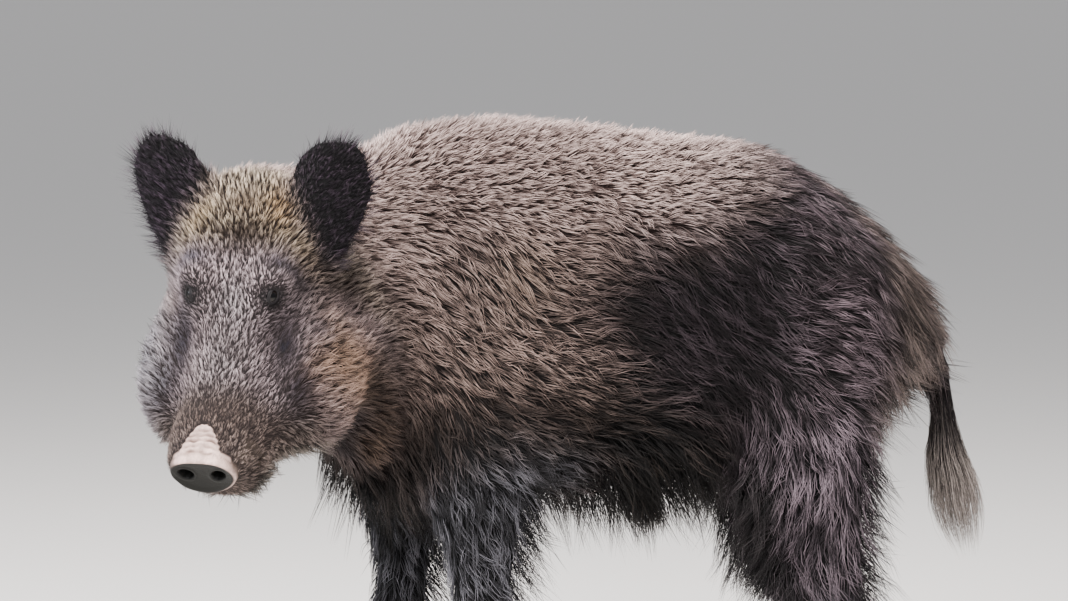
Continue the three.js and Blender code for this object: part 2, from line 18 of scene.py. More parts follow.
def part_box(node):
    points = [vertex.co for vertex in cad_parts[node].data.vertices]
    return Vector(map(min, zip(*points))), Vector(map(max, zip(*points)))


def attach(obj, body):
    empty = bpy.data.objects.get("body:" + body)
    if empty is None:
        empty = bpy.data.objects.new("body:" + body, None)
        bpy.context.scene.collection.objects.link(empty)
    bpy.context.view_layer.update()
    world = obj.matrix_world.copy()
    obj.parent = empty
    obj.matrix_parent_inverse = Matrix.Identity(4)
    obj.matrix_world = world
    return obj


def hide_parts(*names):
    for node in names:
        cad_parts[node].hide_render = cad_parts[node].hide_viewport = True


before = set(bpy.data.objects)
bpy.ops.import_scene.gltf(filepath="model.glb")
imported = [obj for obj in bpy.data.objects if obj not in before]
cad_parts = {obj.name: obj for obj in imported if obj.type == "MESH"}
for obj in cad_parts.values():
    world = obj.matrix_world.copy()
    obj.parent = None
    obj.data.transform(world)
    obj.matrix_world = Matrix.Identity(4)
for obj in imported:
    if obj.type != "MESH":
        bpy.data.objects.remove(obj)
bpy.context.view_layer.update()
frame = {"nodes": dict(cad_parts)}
random = np.random.default_rng(11)

NODES = frame["nodes"]
SIDES = {"left": 1, "right": -1}


# ---------------------------------------------------------------- small helpers

def middle(node):
    """The centre of a node's box."""
    low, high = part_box(node)
    return (low + high) / 2


def unit(vectors):
    """Vectors along the last axis, made one long."""
    return vectors / np.maximum(np.linalg.norm(vectors, axis=-1, keepdims=True), 1e-9)


def ramp(values, start, end):
    """0 before start and 1 after end, smooth between them. End may be lower than start."""
    t = np.clip((values - start) / (end - start), 0, 1)
    return t * t * (3 - 2 * t)


def bump(values, centre, width):
    """A bell curve, 1 at its centre."""
    return np.exp(-(((values - centre) / width) ** 2))


def mix(a, b, share):
    """From a to b, where share may be an array for arrays of vectors."""
    share = np.asarray(share)
    if max(np.ndim(a), np.ndim(b)) > share.ndim > 0:
        share = share[..., None]
    return a + (b - a) * share


def linear(code):
    """A colour such as "b09a90" in linear light."""
    parts = np.array([int(code[i : i + 2], 16) for i in (0, 2, 4)]) / 255
    return np.where(parts <= 0.04045, parts / 12.92, ((parts + 0.055) / 1.055) ** 2.4)


def mesh_of(name, shape):
    """A new mesh with the points and faces of a shape."""
    points, faces = shape
    mesh = bpy.data.meshes.new(name)
    mesh.from_pydata(points, [], faces)
    return mesh


def place_object(name, mesh):
    """A new object in the scene."""
    thing = bpy.data.objects.new(name, mesh)
    bpy.context.scene.collection.objects.link(thing)
    return thing


# ---------------------------------------------------------------- camera, floor and light

CAMERA_AZIMUTH, CAMERA_ELEVATION = math.radians(158), math.radians(4)
CAMERA_AWAY = 9.0
VIEW_WIDTH = 1.554  # what the picture takes in, at the animal
SENSOR = 36.0
AIM_AHEAD_OF_BARREL, AIM_HEIGHT = 0.195, 0.62
FLOOR_REACH = 400


def add_camera():
    """The camera stands off the animal's left shoulder, a little above its back."""
    barrel = middle("barrel")
    aim = Vector((barrel.x + AIM_AHEAD_OF_BARREL, barrel.y, AIM_HEIGHT))
    level = math.cos(CAMERA_ELEVATION)
    back = Vector((
        math.sin(CAMERA_AZIMUTH) * level,
        -math.cos(CAMERA_AZIMUTH) * level,
        math.sin(CAMERA_ELEVATION),
    ))
    data = bpy.data.cameras.new("camera")
    data.sensor_width = SENSOR
    data.lens = SENSOR * CAMERA_AWAY / VIEW_WIDTH
    data.clip_end = 1.2 * FLOOR_REACH
    camera = place_object("camera", data)
    camera.location = aim + back * CAMERA_AWAY
    camera.rotation_euler = (-back).to_track_quat("-Z", "Y").to_euler()
    bpy.context.scene.camera = camera


def add_floor():
    """A plain pale floor out to the horizon."""
    corners = [(x * FLOOR_REACH, y * FLOOR_REACH, 0) for x, y in ((-1, -1), (1, -1), (1, 1), (-1, 1))]
    mesh = mesh_of("floor", (corners, [(0, 1, 2, 3)]))
    material = bpy.data.materials.new("floor")
    material.use_nodes = True
    shader = material.node_tree.nodes["Principled BSDF"]
    shader.inputs["Base Color"].default_value = (0.72, 0.71, 0.69, 1)
    shader.inputs["Roughness"].default_value = 0.9
    mesh.materials.append(material)
    place_object("floor", mesh)


LAMPS = {  # square soft boxes that face the animal: place, size, power and colour
    "key": ((1.6, 2.5, 3.8), 2.2, 470, (1, 0.95, 0.92)),
    "top": ((-0.1, -0.6, 4.2), 2.5, 310, (1, 0.94, 0.91)),
    "fill": ((3.2, 4.0, 2.4), 2.5, 115, (0.97, 0.97, 1)),
    "side": ((4.2, -1.2, 1.9), 1.6, 110, (0.90, 0.94, 1)),
}
LAMPS_FACE = Vector((0, 0, 0.5))
SKY_COLOUR, SKY_STRENGTH = (0.96, 0.96, 1, 1), 0.62


def add_light():
    """Soft light as under a bright overcast sky, strongest from above and ahead."""
    world = bpy.data.worlds.new("world")
    world.use_nodes = True
    sky = world.node_tree.nodes["Background"]
    sky.inputs["Color"].default_value = SKY_COLOUR
    sky.inputs["Strength"].default_value = SKY_STRENGTH
    bpy.context.scene.world = world
    for name, (place, size, power, colour) in LAMPS.items():
        data = bpy.data.lights.new(name, "AREA")
        data.size, data.energy, data.color = size, power, colour
        lamp = place_object(name, data)
        lamp.location = place
        lamp.rotation_euler = (LAMPS_FACE - Vector(place)).to_track_quat("-Z", "Y").to_euler()


# ---------------------------------------------------------------- the head's frame

HEAD_TURN = Euler([math.radians(a) for a in (-2, 57, 51)], "XYZ")
EYE_PLACE = (0.123, 0, 0.061)  # the point midway between the eyes
HEAD_AXES = np.array(HEAD_TURN.to_matrix())
EYES_MIDDLE = np.array((middle("eye_left") + middle("eye_right")) / 2)
HEAD_ORIGIN = EYES_MIDDLE - HEAD_AXES @ EYE_PLACE
MUZZLE_TURN_FROM, MUZZLE_TURN = 0.200, -0.06  # the muzzle bends to the right from here on, by this slope
UNDER_HEAD = 0.30  # height in the frame that no part of the head hangs down to


def to_head(points):
    """Points in the head's frame, with the muzzle's bend taken out and the legs below it far behind it."""
    place = (points - HEAD_ORIGIN) @ HEAD_AXES
    place[:, 1] -= MUZZLE_TURN * np.maximum(place[:, 0] - MUZZLE_TURN_FROM, 0)
    place[points[:, 2] < UNDER_HEAD, 0] = -1
    return place


# ---------------------------------------------------------------- regions

# For each region of the flesh: its nodes, how far the skin lies inside the tips of the coat, how strongly
# the skin's facets are smoothed away (from 0 to 0.5), the lengths that a tuft is made of, and the slot.
REGIONS = {
    "rump": ("rump", 0.017, 0.5, 2, "body_coat"),
    "barrel": ("barrel", 0.020, 0.5, 3, "body_coat"),
    "chest": ("chest", 0.022, 0.5, 2, "body_coat"),
    "neck": ("neck", 0.024, 0.4, 2, "body_coat"),
    "head": ("head", 0.009, 0.12, 1, "head_coat"),
    "jaw": ("lower_jaw", 0.016, 0.14, 2, "head_coat"),
    "snout": ("snout", 0.002, 0.05, 1, "head_coat"),
    "ear": ("ear_*", 0.004, 0.10, 1, "ear_coat"),
    "arm": ("foreleg_*_upper", 0.015, 0.25, 3, "leg_coat"),
    "thigh": ("hindleg_*_upper", 0.017, 0.3, 3, "leg_coat"),
    "cannon": ("*_cannon", 0.012, 0.16, 2, "leg_coat"),
    "foot": ("*_foot", 0.004, 0.06, 1, "leg_coat"),
    "dock": ("tail_dock", 0.003, 0.015, 3, "body_coat"),
}
NAMES = list(REGIONS)
PATTERNS, DEPTHS, SOFTNESS, STEPS, SLOTS = zip(*REGIONS.values())
REGION_NODES = [fnmatch.filter(NODES, pattern) for pattern in PATTERNS]
FLESH = [node for nodes in REGION_NODES for node in nodes]
CHEEK = len(NAMES)  # the cheeks' tufts are a kind of their own, after the regions'
CHEEK_KIND = ("cheek", 2, "head_coat")
HEAD_REGIONS = [NAMES.index(name) for name in ("head", "jaw", "snout", "ear")]


def shape_of(node, swell=0.0):
    """A node's points and faces, with its split corners joined. It may be swollen."""
    shape = bmesh.new()
    shape.from_mesh(NODES[node].data)
    bmesh.ops.remove_doubles(shape, verts=shape.verts, dist=1e-5)
    shape.normal_update()
    shape.verts.index_update()
    points = [v.co + v.normal * swell for v in shape.verts]
    faces = [[v.index for v in f.verts] for f in shape.faces]
    shape.free()
    return points, faces


def joined(shapes):
    """The points and faces of several shapes in one list each."""
    points, faces = [], []
    for more_points, more_faces in shapes:
        faces += [[len(points) + i for i in face] for face in more_faces]
        points += more_points
    return points, faces


def read(items, name, width, kind=float):
    """One property of all the items of a mesh, with a row to each item."""
    values = np.empty(len(items) * width, kind)
    items.foreach_get(name, values)
    return values.reshape(-1, width)


def points_of(mesh):
    return read(mesh.vertices, "co", 3)


def normals_of(mesh):
    return read(mesh.vertex_normals, "vector", 3)


def set_points(mesh, points):
    mesh.vertices.foreach_set("co", np.asarray(points, np.float32).ravel())
    mesh.update()


class Net:
    """The edges of a mesh, for means over each point's neighbours."""

    def __init__(self, mesh):
        a, b = read(mesh.edges, "vertices", 2, np.int64).T
        start = np.concatenate([a, b])
        order = np.argsort(start, kind="stable")
        self.end = np.concatenate([b, a])[order]
        self.count = np.bincount(start, minlength=len(mesh.vertices))
        self.first = np.concatenate([[0], np.cumsum(self.count)[:-1]])

    def smooth(self, values, times, share=0.5):
        """Values drawn towards their neighbours' mean. Share may differ from point to point."""
        values = np.array(values, float)
        flat = values.reshape(len(values), -1)
        share = np.broadcast_to(share, len(flat))[:, None]
        for _ in range(times):
            mean = np.add.reduceat(flat[self.end], self.first, axis=0) / self.count[:, None]
            flat = flat + (mean - flat) * share
        return flat.reshape(values.shape)


# ---------------------------------------------------------------- skin

SMOOTHING, DEPTH_SMOOTHING = 200, 20
REGIONS_RUN = 24  # how far the regions' depths and softness run into each other
VOXEL = 0.0066
SWELL = 0.0014  # closes the thin cuts between the nodes
EAR_SLIP = 0.007  # how far the ears are pushed into the head, to close the cut at their roots
BELLY_DEPTH = 0.012  # longer hair hangs under the trunk
INTO_CLAWS = 0.009  # how far the underside of a foot reaches down into its claws
FACE_HOLLOW = 0.009  # the trough along each side of the muzzle, below the eyes
BROW = 0.005
THINS_BY_EYES = (0.016, 0.050)  # the coat thins out towards the eyes, between these distances
THINS_BY_SNOUT = (0.285, 0.330)  # and along the muzzle, between these places in the head's frame
THINNEST = 0.001
LIP_GROOVE, LIP_GROOVE_WIDE = 0.0042, 0.0030


def joined_flesh():
    """The flesh nodes and the eyeballs, swollen into each other, as one mesh."""
    shapes = []
    for node in [*FLESH, "eye_left", "eye_right"]:
        points, faces = shape_of(node, SWELL)
        if node.startswith("ear"):
            slip = (Vector(EYES_MIDDLE) - middle(node)).normalized() * EAR_SLIP
            points = [point + slip for point in points]
        shapes.append((points, faces))
    return mesh_of("flesh", joined(shapes))


def with_modifier(mesh, kind, **settings):
    """The mesh as one modifier leaves it."""
    worker = place_object("worker", mesh)
    modifier = worker.modifiers.new(kind, kind)
    for name, value in settings.items():
        setattr(modifier, name, value)
    graph = bpy.context.evaluated_depsgraph_get()
    made = bpy.data.meshes.new_from_object(worker.evaluated_get(graph))
    bpy.data.objects.remove(worker)
    return made


def keep_largest(mesh):
    """Leaves out every part of a mesh that isn't joined to its largest."""
    shape = bmesh.new()
    shape.from_mesh(mesh)
    waiting, parts = set(shape.verts), []
    while waiting:
        part = [waiting.pop()]
        for vert in part:
            for edge in vert.link_edges:
                other = edge.other_vert(vert)
                if other in waiting:
                    waiting.remove(other)
                    part.append(other)
        parts.append(part)
    parts.sort(key=len)
    bmesh.ops.delete(shape, geom=[vert for part in parts[:-1] for vert in part], context="VERTS")
    shape.to_mesh(mesh)
    shape.free()


def region_finder():
    """A tree of the flesh nodes' faces, and the region of each face."""
    shapes, region = [], []
    for index, nodes in enumerate(REGION_NODES):
        for node in nodes:
            shapes.append(shape_of(node))
            region += [index] * len(shapes[-1][1])
    return BVHTree.FromPolygons(*joined(shapes)), np.array(region)


def nearest(tree, points):
    """The nearest face and the signed distance from it, which is positive outside."""
    face, away = np.empty(len(points), int), np.empty(len(points))
    for i, point in enumerate(points):
        place, normal, face[i], distance = tree.find_nearest(point)
        away[i] = math.copysign(distance, (Vector(point) - place).dot(normal))
    return face, away


# The fine parts of the face are cut finer in two rounds, the second on the snout's end alone.
FINE_ROUND_EYE = 0.026
FINE_FROM_SNOUT = (0.300, 0.314)
FINE_BY_MOUTH = 0.010
FINE_SMOOTHING = 16
MUZZLE_WIDE = 0.12  # well past either side of the lips
MOUTH_CORNER, MOUTH_RISE = (0.148, -0.062), math.tan(math.radians(10))
LIPS_FROM, LIPS_TO, LIPS_END = 0.300, 0.350, 0.362  # the line between the lips shows along here


def mouth_height(place):
    """How far a point in the head's frame is above the line of the closed lips."""
    return place[:, 2] - MOUTH_CORNER[1] - MOUTH_RISE * (place[:, 0] - MOUTH_CORNER[0])


def on_lips(place):
    """1 along the line between the lips, fading out at its ends."""
    return ramp(place[:, 0], LIPS_FROM, LIPS_FROM + 0.03) * ramp(place[:, 0], LIPS_END, LIPS_TO)


def eye_axes(side):
    """Along the opening of the lids, across it, and out of the eye."""
    look = HEAD_AXES @ unit(np.array([0.25, 0.68 * side, 0.68]))
    along = unit(HEAD_AXES[:, 0] - look * (HEAD_AXES[:, 0] @ look))
    return along, np.cross(look, along), look


def eye_centre(side_name):
    """The middle of an eyeball, a little deeper in the head than its node's."""
    return np.array(middle(f"eye_{side_name}")) - eye_axes(SIDES[side_name])[2] * EYE_SUNK


def near_eyes(points):
    """The distance to the nearer eye's centre."""
    return np.min([np.linalg.norm(points - eye_centre(name), axis=1) for name in SIDES], axis=0)


def fine_parts(points, round_):
    """The parts that need a finer mesh: the snout and, in the first round, the eyes and lips."""
    place = to_head(points)
    fine = place[:, 0] > FINE_FROM_SNOUT[round_]
    if round_ == 0:
        lips = (np.abs(mouth_height(place)) < FINE_BY_MOUTH) & (on_lips(place) > 0)
        fine = fine | lips & (np.abs(place[:, 1]) < MUZZLE_WIDE) | (near_eyes(points) < FINE_ROUND_EYE)
    return fine


def refined(mesh):
    """The mesh with the fine parts of the face cut finer and rounded again."""
    for round_ in range(len(FINE_FROM_SNOUT)):
        near = fine_parts(points_of(mesh), round_)
        shape = bmesh.new()
        shape.from_mesh(mesh)
        edges = [e for e in shape.edges if near[e.verts[0].index] and near[e.verts[1].index]]
        bmesh.ops.subdivide_edges(shape, edges=edges, cuts=1, use_grid_fill=True)
        bmesh.ops.triangulate(shape, faces=[f for f in shape.faces if len(f.verts) > 4])
        shape.to_mesh(mesh)
        shape.free()
    points = points_of(mesh)
    set_points(mesh, Net(mesh).smooth(points, FINE_SMOOTHING, 0.5 * fine_parts(points, 0)))


EYE_RADIUS = 0.0128
EYE_SUNK = 0.004
EYE_COVER = 0.0014  # thickness of the skin over the eyeball round the lids
LID_LENGTH, LID_HEIGHT = 0.0092, 0.0047  # half the opening's sizes
LID_WIDENS = (0.60, 1.50)  # how fast the rings round the opening grow along it and across it
LIDS_REACH = 1.55  # size of the ring where the lids end under the skin, against the opening
EYE_PIT = 0.0035  # how deep the skin lies inside the eyeball behind the lids


def ring_sizes(size):
    """Half the length and height of a ring round the opening of the lids."""
    grown = size - 1
    return LID_LENGTH * (1 + LID_WIDENS[0] * grown), LID_HEIGHT * (1 + LID_WIDENS[1] * grown)


def eye_place(points, side_name):
    """Points along the lids' opening, across it and out of the eye, from the eye's centre."""
    axes = np.stack(eye_axes(SIDES[side_name]), 1)
    return (points - eye_centre(side_name)) @ axes


def lids_reach(points, side_name):
    """Below 1 inside the outer ring of the lids of one eye."""
    place = eye_place(points, side_name)
    long, high = ring_sizes(LIDS_REACH)
    reach = np.hypot(place[:, 0] / long, place[:, 1] / high)
    return np.where((place[:, 2] > 0) & (place[:, 2] < 0.04), reach, 9)


def shape_eye_pits(points):
    """Sinks the skin into the eyeballs behind the lids, and covers the eyeballs round them."""
    for side_name in SIDES:
        out = points - eye_centre(side_name)
        radius = np.maximum(np.linalg.norm(out, axis=1), 1e-6)
        inside = ramp(lids_reach(points, side_name), 1.0, 0.80)
        covered = np.maximum(radius, EYE_RADIUS + EYE_COVER)
        sunk = np.minimum(radius, EYE_RADIUS - EYE_PIT)
        points = points + out * (mix(covered, sunk, inside) / radius - 1)[:, None]
    return points


DISC_CENTRE = np.array([0.367, 0, 0.001])  # the snout's end, in the head's frame
DISC_TILT = math.radians(12)
DISC_WIDE, DISC_HIGH = 0.0495, 0.0375  # half its sizes
DISC_FACE = 0.008  # how far its face stands out from its centre
RIM_HIGH, RIM_TOP = 0.0034, 0.75  # the rim, and how much more it stands out on top
HOLLOW = 0.0022
NOSTRIL_APART, NOSTRIL_WIDE, NOSTRIL_HIGH, NOSTRIL_DEEP = 0.0235, 0.0112, 0.0100, 0.016
FOLDS = [0.3590, 0.3505, 0.3420, 0.3345, 0.3275]  # the creases across the bare bridge
FOLD_DEPTHS = [0.0040, 0.0022, 0.0042, 0.0030, 0.0024]
FOLD_WIDE = 0.0018
BRIDGE_TOP = 0.318  # where the bare bridge begins
BRIDGE_RISE = 0.0030


def to_disc(place):
    """Out of the snout's end, across it to the left, and up it, from a place in the head's frame."""
    out = place - DISC_CENTRE
    c, s = math.cos(DISC_TILT), math.sin(DISC_TILT)
    return np.stack([out[:, 0] * c + out[:, 2] * s, out[:, 1], out[:, 2] * c - out[:, 0] * s], 1)


def disc_reach(disc):
    """0 at the middle of the snout's end and 1 at its rim: flat on top and rounder below."""
    up = disc[:, 2] / DISC_HIGH
    wide = DISC_WIDE * (1 + 0.06 * np.clip(up, -1, 0.4))
    power = mix(1.8, 2.7, ramp(up, -0.3, 0.5))
    return (np.abs(disc[:, 1] / wide) ** power + np.abs(up) ** power) ** (1 / power)


def nostril_reach(disc):
    """0 in the middle of the nearer nostril and 1 at its edge."""
    across = (np.abs(disc[:, 1]) - NOSTRIL_APART) / NOSTRIL_WIDE
    up = (disc[:, 2] - 0.001 - 0.25 * (np.abs(disc[:, 1]) - NOSTRIL_APART)) / NOSTRIL_HIGH
    return np.hypot(across, up)


def bridge_reach(place):
    """Below 1 on the bare stepped bridge between the snout's end and the fur."""
    along = np.clip((place[:, 0] - BRIDGE_TOP) / (DISC_CENTRE[0] - BRIDGE_TOP), 1e-3, 1.2)
    half = 0.033 * along**0.45 + 0.019 * ramp(along, 0.78, 1.0)
    for fold in FOLDS:
        half = half - 0.0022 * bump(place[:, 0], fold, 1.3 * FOLD_WIDE)
    return np.where(place[:, 0] > BRIDGE_TOP, np.abs(place[:, 1]) / half, 2)


def fold_depth(place):
    """The creases across the bridge, which waver and are deeper in some places than in others."""
    x, y, _ = place.T
    total = np.zeros(len(place))
    for fold, deep in zip(FOLDS, FOLD_DEPTHS):
        waver = 0.0010 * np.sin(y * 150 + fold * 900) + 0.0007 * np.sin(y * 410 + fold * 2100)
        waver -= 2.4 * y**2
        uneven = 0.72 + 0.28 * np.sin(y * 230 + fold * 1500)
        total += deep * uneven * bump(x + waver, fold, FOLD_WIDE)
    return total


def shape_snout(points, normals):
    """A flat end with a raised rim and two nostrils, and a folded mound on the bridge behind it."""
    place = to_head(points)
    disc = to_disc(place)
    reach, nostril = disc_reach(disc), nostril_reach(disc)
    out = HEAD_AXES @ np.array([math.cos(DISC_TILT), 0, math.sin(DISC_TILT)])
    rim = RIM_HIGH * bump(reach, 0.88, 0.13) * (1 + RIM_TOP * ramp(disc[:, 2], 0, DISC_HIGH))
    hollow = -HOLLOW * ramp(reach, 0.75, 0.2) - NOSTRIL_DEEP * ramp(nostril, 1.0, 0.62)
    lips = 0.0012 * bump(nostril, 1.2, 0.2)
    front = ramp(disc[:, 0], -0.004, 0.003) * ramp(reach, 1.06, 0.97)
    moved = (DISC_FACE + rim + hollow + lips - disc[:, 0]) * front
    points = points + moved[:, None] * out
    top = ramp(normals @ HEAD_AXES[:, 2], 0.0, 0.6) * ramp(disc[:, 0], 0.004, -0.003)
    raised = BRIDGE_RISE * ramp(bridge_reach(place), 1.05, 0.75)
    raised = raised - fold_depth(place) * ramp(raised, 0, BRIDGE_RISE)
    return points + normals * (raised * top)[:, None]


def face_relief(points, normals):
    """How far the face is sunk beside the muzzle, and raised over the eyes."""
    x, y, _ = to_head(points).T
    top = ramp(normals @ HEAD_AXES[:, 2], 0.1, 0.5)
    trough = bump(np.abs(y + 0.006), 0.079, 0.020) * ramp(x, 0.135, 0.175) * ramp(x, 0.300, 0.250)
    brow = bump(x, 0.094, 0.016) * bump(np.abs(y), 0.060, 0.022)
    return (FACE_HOLLOW * trough - BROW * brow) * top


def shape_lips(points, normals):
    """The closed mouth, as a groove between the lips."""
    place = to_head(points)
    groove = LIP_GROOVE * bump(mouth_height(place), 0, LIP_GROOVE_WIDE) * on_lips(place)
    return points - normals * groove[:, None]


def make_skin(finder):
    """One skin from the snout to the tail, inside the coat by its depth."""
    tree, region_of_face = finder
    mesh = with_modifier(joined_flesh(), "REMESH", mode="VOXEL", voxel_size=VOXEL)
    keep_largest(mesh)
    net = Net(mesh)
    points = points_of(mesh)
    face, _ = nearest(tree, points)
    weights = net.smooth(np.eye(len(NAMES))[region_of_face[face]], REGIONS_RUN)
    points = net.smooth(points, SMOOTHING, weights @ SOFTNESS)
    set_points(mesh, points)
    normals = normals_of(mesh)
    _, away = nearest(tree, points)
    trunk = weights[:, [NAMES.index(name) for name in ("barrel", "chest", "rump")]].sum(1)
    depth = weights @ DEPTHS + BELLY_DEPTH * trunk * ramp(-normals[:, 2], 0.3, 0.9)
    depth *= ramp(near_eyes(points), *THINS_BY_EYES)
    foot = weights[:, NAMES.index("foot")]
    depth = mix(depth, -INTO_CLAWS, ramp(foot, 0.5, 0.9) * ramp(-normals[:, 2], 0.45, 0.80))
    depth = mix(depth, THINNEST, ramp(to_head(points)[:, 0], *THINS_BY_SNOUT))
    depth += net.smooth(away, DEPTH_SMOOTHING) + face_relief(points, normals)
    set_points(mesh, points - normals * depth[:, None])
    refined(mesh)
    points = shape_snout(points_of(mesh), normals_of(mesh))
    set_points(mesh, shape_lips(shape_eye_pits(points), normals_of(mesh)))
    mesh.shade_smooth()
    return place_object("skin", mesh)


# ---------------------------------------------------------------- what the coat is like

COLUMNS = ("length", "lift", "bend", "width", "gather", "wave", "density", "rise", "pale")
# Length, width and wave are in millimetres. Lift is the angle from the skin at the root, in degrees, and
# bend the share of it that is lost on the way to the tip. Gather is how far the tips of a lock are drawn
# together. Density is in thousands to the square metre. Rise is where the pale part of a hair begins, as a
# share of its length, and pale the share of hairs that have one.
HAIR = {
    "rump": (48, 22, 0.7, 1.45, 0.66, 3.0, 40, 0.36, 0.46),
    "barrel": (60, 20, 0.8, 1.5, 0.72, 5.0, 32, 0.34, 0.42),
    "chest": (37, 28, 0.6, 1.6, 0.62, 1.8, 44, 0.39, 0.68),
    "neck": (29, 42, 0.5, 1.6, 0.60, 0.8, 62, 0.46, 0.72),
    "head": (13, 32, 0.4, 1.15, 0.62, 0.0, 265, 0.40, 0.68),
    "jaw": (38, 32, 0.5, 1.35, 0.6, 3.0, 76, 0.42, 0.5),
    "snout": (9, 32, 0.4, 1.05, 0.5, 0.0, 280, 0.45, 0.5),
    "ear": (17, 34, 0.3, 1.1, 0.3, 0.0, 170, 0.55, 0.3),
    "arm": (48, 24, 0.6, 1.45, 0.74, 6.0, 39, 0.32, 0.46),
    "thigh": (60, 22, 0.65, 1.4, 0.76, 6.0, 39, 0.3, 0.5),
    "cannon": (34, 20, 0.7, 1.3, 0.6, 3.0, 56, 0.4, 0.32),
    "foot": (13, 18, 0.5, 1.1, 0.3, 0.0, 140, 0.4, 0.22),
    "dock": (20, 14, 0.6, 1.2, 0.5, 1.0, 120, 0.3, 0.5),
    # accents, laid over the regions where their masks say
    "hump": (26, 56, 0.3, 1.75, 0.58, 0.4, 82, 0.51, 0.88),
    "crown": (18, 52, 0.3, 1.5, 0.72, 0.0, 190, 0.48, 0.62),
    "cheek": (34, 32, 0.55, 1.35, 0.6, 1.4, 102, 0.38, 0.68),
    "muzzle": (9, 34, 0.4, 1.05, 0.6, 0.0, 280, 0.42, 0.5),
    "belly": (112, 72, 0.05, 1.6, 0.80, 10.0, 25, 0.45, 0.18),
    "fringe": (84, 48, 0.1, 1.35, 0.62, 16.0, 34, 0.36, 0.26),
    "rim": (36, 66, 0.2, 1.1, 0.4, 0.6, 380, 0.4, 0.45),
    "skirt": (72, 32, 0.60, 1.3, 0.76, 5.0, 54, 0.34, 0.46),
}
COLOURS = {  # at the root and at a pale tip
    "rump": ("0c0809", "94828a"),
    "barrel": ("080607", "75676f"),
    "chest": ("18110f", "e6c8bc"),
    "neck": ("261b17", "ffdfd4"),
    "head": ("302829", "f4dce0"),
    "jaw": ("14110e", "b8aea2"),
    "snout": ("2c2320", "a8958c"),
    "ear": ("050406", "5c4c5c"),
    "arm": ("08080b", "85848c"),
    "thigh": ("09070a", "a0909a"),
    "cannon": ("09080a", "5f5c63"),
    "foot": ("090809", "434147"),
    "dock": ("14100e", "8d8080"),
    "hump": ("44332f", "ffe3db"),
    "crown": ("261a13", "f0dcc2"),
    "cheek": ("261c18", "cba78f"),
    "muzzle": ("302624", "b8a49b"),
    "belly": ("050405", "423c39"),
    "fringe": ("060506", "4c4648"),
    "rim": ("070608", "7a6a78"),
    # the rump's long rear hair: its warm pale tips are partly a painted highlight, as if lit from behind
    "skirt": ("0e0a0a", "ab9890"),
}
LIE = {  # the way that the hair points, in the frame's axes
    "rump": (-0.80, 0, -0.62), "barrel": (-1, 0, -0.45), "chest": (-0.9, 0, -0.50), "neck": (-1, 0, -0.30),
    "cannon": (-0.16, 0, -1), "foot": (0.10, 0, -1), "dock": (-0.1, 0, -1),
}
HEAD_LIE = {  # in the head's axes, with Y outwards
    "head": (-1, 0, 0.05), "jaw": (0.35, 0.6, -1), "snout": (-1, 0, 0.1), "cheek": (-0.6, 0.8, -0.6),
}
FACE_PARTING = 3.5  # how much the hair of the face leans outwards with the distance from its middle
LIE_SMOOTHING = 40
BLENDING, BODY_BLENDING = 16, 50  # how far all regions run into each other, and the body's after that
SWIRL = (0.22, 0.16)  # how far broad and small patches turn the lie, in radians
SWIRL_CALM = 0.6  # and how much less they do on the head and feet
BROAD, MIDDLING, SMALL = 260, 110, 30  # smoothing that makes patches of these sizes
# The pale bristles of the back: the heights where they begin and are full, at rump and shoulder.
HUMP_FROM, HUMP_FULL = (0.80, 0.62), (0.96, 0.80)
HUMP_RUN = (-0.28, 0.08)  # from the rump to the shoulder, along the body from the barrel's middle
MARKS = [  # soft patches on the head: place along and across it, sizes along and across, colour, strength
    ((-0.070, 0.005), (0.050, 0.060), "f4e2cb", 0.80),  # crown
    ((-0.005, 0.050), (0.036, 0.024), "cf9f5c", 0.75),  # golden patches on both sides of the forehead
    ((0.015, -0.060), (0.034, 0.024), "cfae78", 0.65),
    ((0.050, 0.090), (0.050, 0.016), "a88e58", 0.60),  # left temple
    ((0.040, 0.128), (0.050, 0.024), "352a30", 0.90),  # painted shadow below the left ear
    ((0.052, 0.010), (0.030, 0.046), "23160f", 0.95),  # dark middle of the forehead
    ((0.000, 0.000), (0.024, 0.026), "5e4128", 0.70),  # brown above it
    ((0.086, 0.068), (0.014, 0.028), "3e3f52", 0.90),  # brows: their bluish grey hair, with painted shade over the eyes
    ((0.082, -0.062), (0.016, 0.028), "66687e", 0.85),
    ((0.142, 0.004), (0.036, 0.032), "f0e4e8", 0.90),  # between the eyes
    ((0.175, 0.070), (0.055, 0.024), "10132a", 1.00),  # painted shade in the left trough beside the muzzle, and its lower end
    ((0.235, 0.094), (0.042, 0.022), "191d30", 0.95),
    ((0.178, -0.076), (0.056, 0.024), "1c2140", 0.97),  # painted shade in the right trough, and its lower end
    ((0.232, -0.098), (0.040, 0.020), "262c46", 0.90),
    ((0.180, -0.130), (0.100, 0.034), "f0ecf6", 1.00),  # pale fringe of the right cheek
    ((0.222, -0.004), (0.050, 0.036), "fff0f2", 0.95),  # bridge
    ((0.305, 0.000), (0.034, 0.080), "a58d82", 0.80),  # muzzle
]
BODY_MARKS = [  # soft patches on both flanks: place along and up the body, sizes, colour, strength
    ((0.19, 0.75), (0.14, 0.08), "fbdcd3", 0.80),  # pale shoulder
    ((0.12, 0.69), (0.05, 0.06), "b99f82", 0.50),  # tawny behind it
    ((-0.03, 0.62), (0.13, 0.10), "2c2429", 0.95),  # dark flank
    ((-0.17, 0.64), (0.14, 0.12), "4a3f46", 0.80),  # behind it
    ((-0.05, 0.44), (0.16, 0.07), "43382f", 0.80),  # below it
    ((0.19, 0.44), (0.18, 0.10), "2b2521", 0.95),  # below the shoulder
    ((0.33, 0.54), (0.06, 0.07), "a88f7e", 0.70),  # painted light behind the cheek, lifting the shade in the fold there
    ((0.35, 0.64), (0.05, 0.045), "43363b", 0.90),  # painted shadow below the ear
]
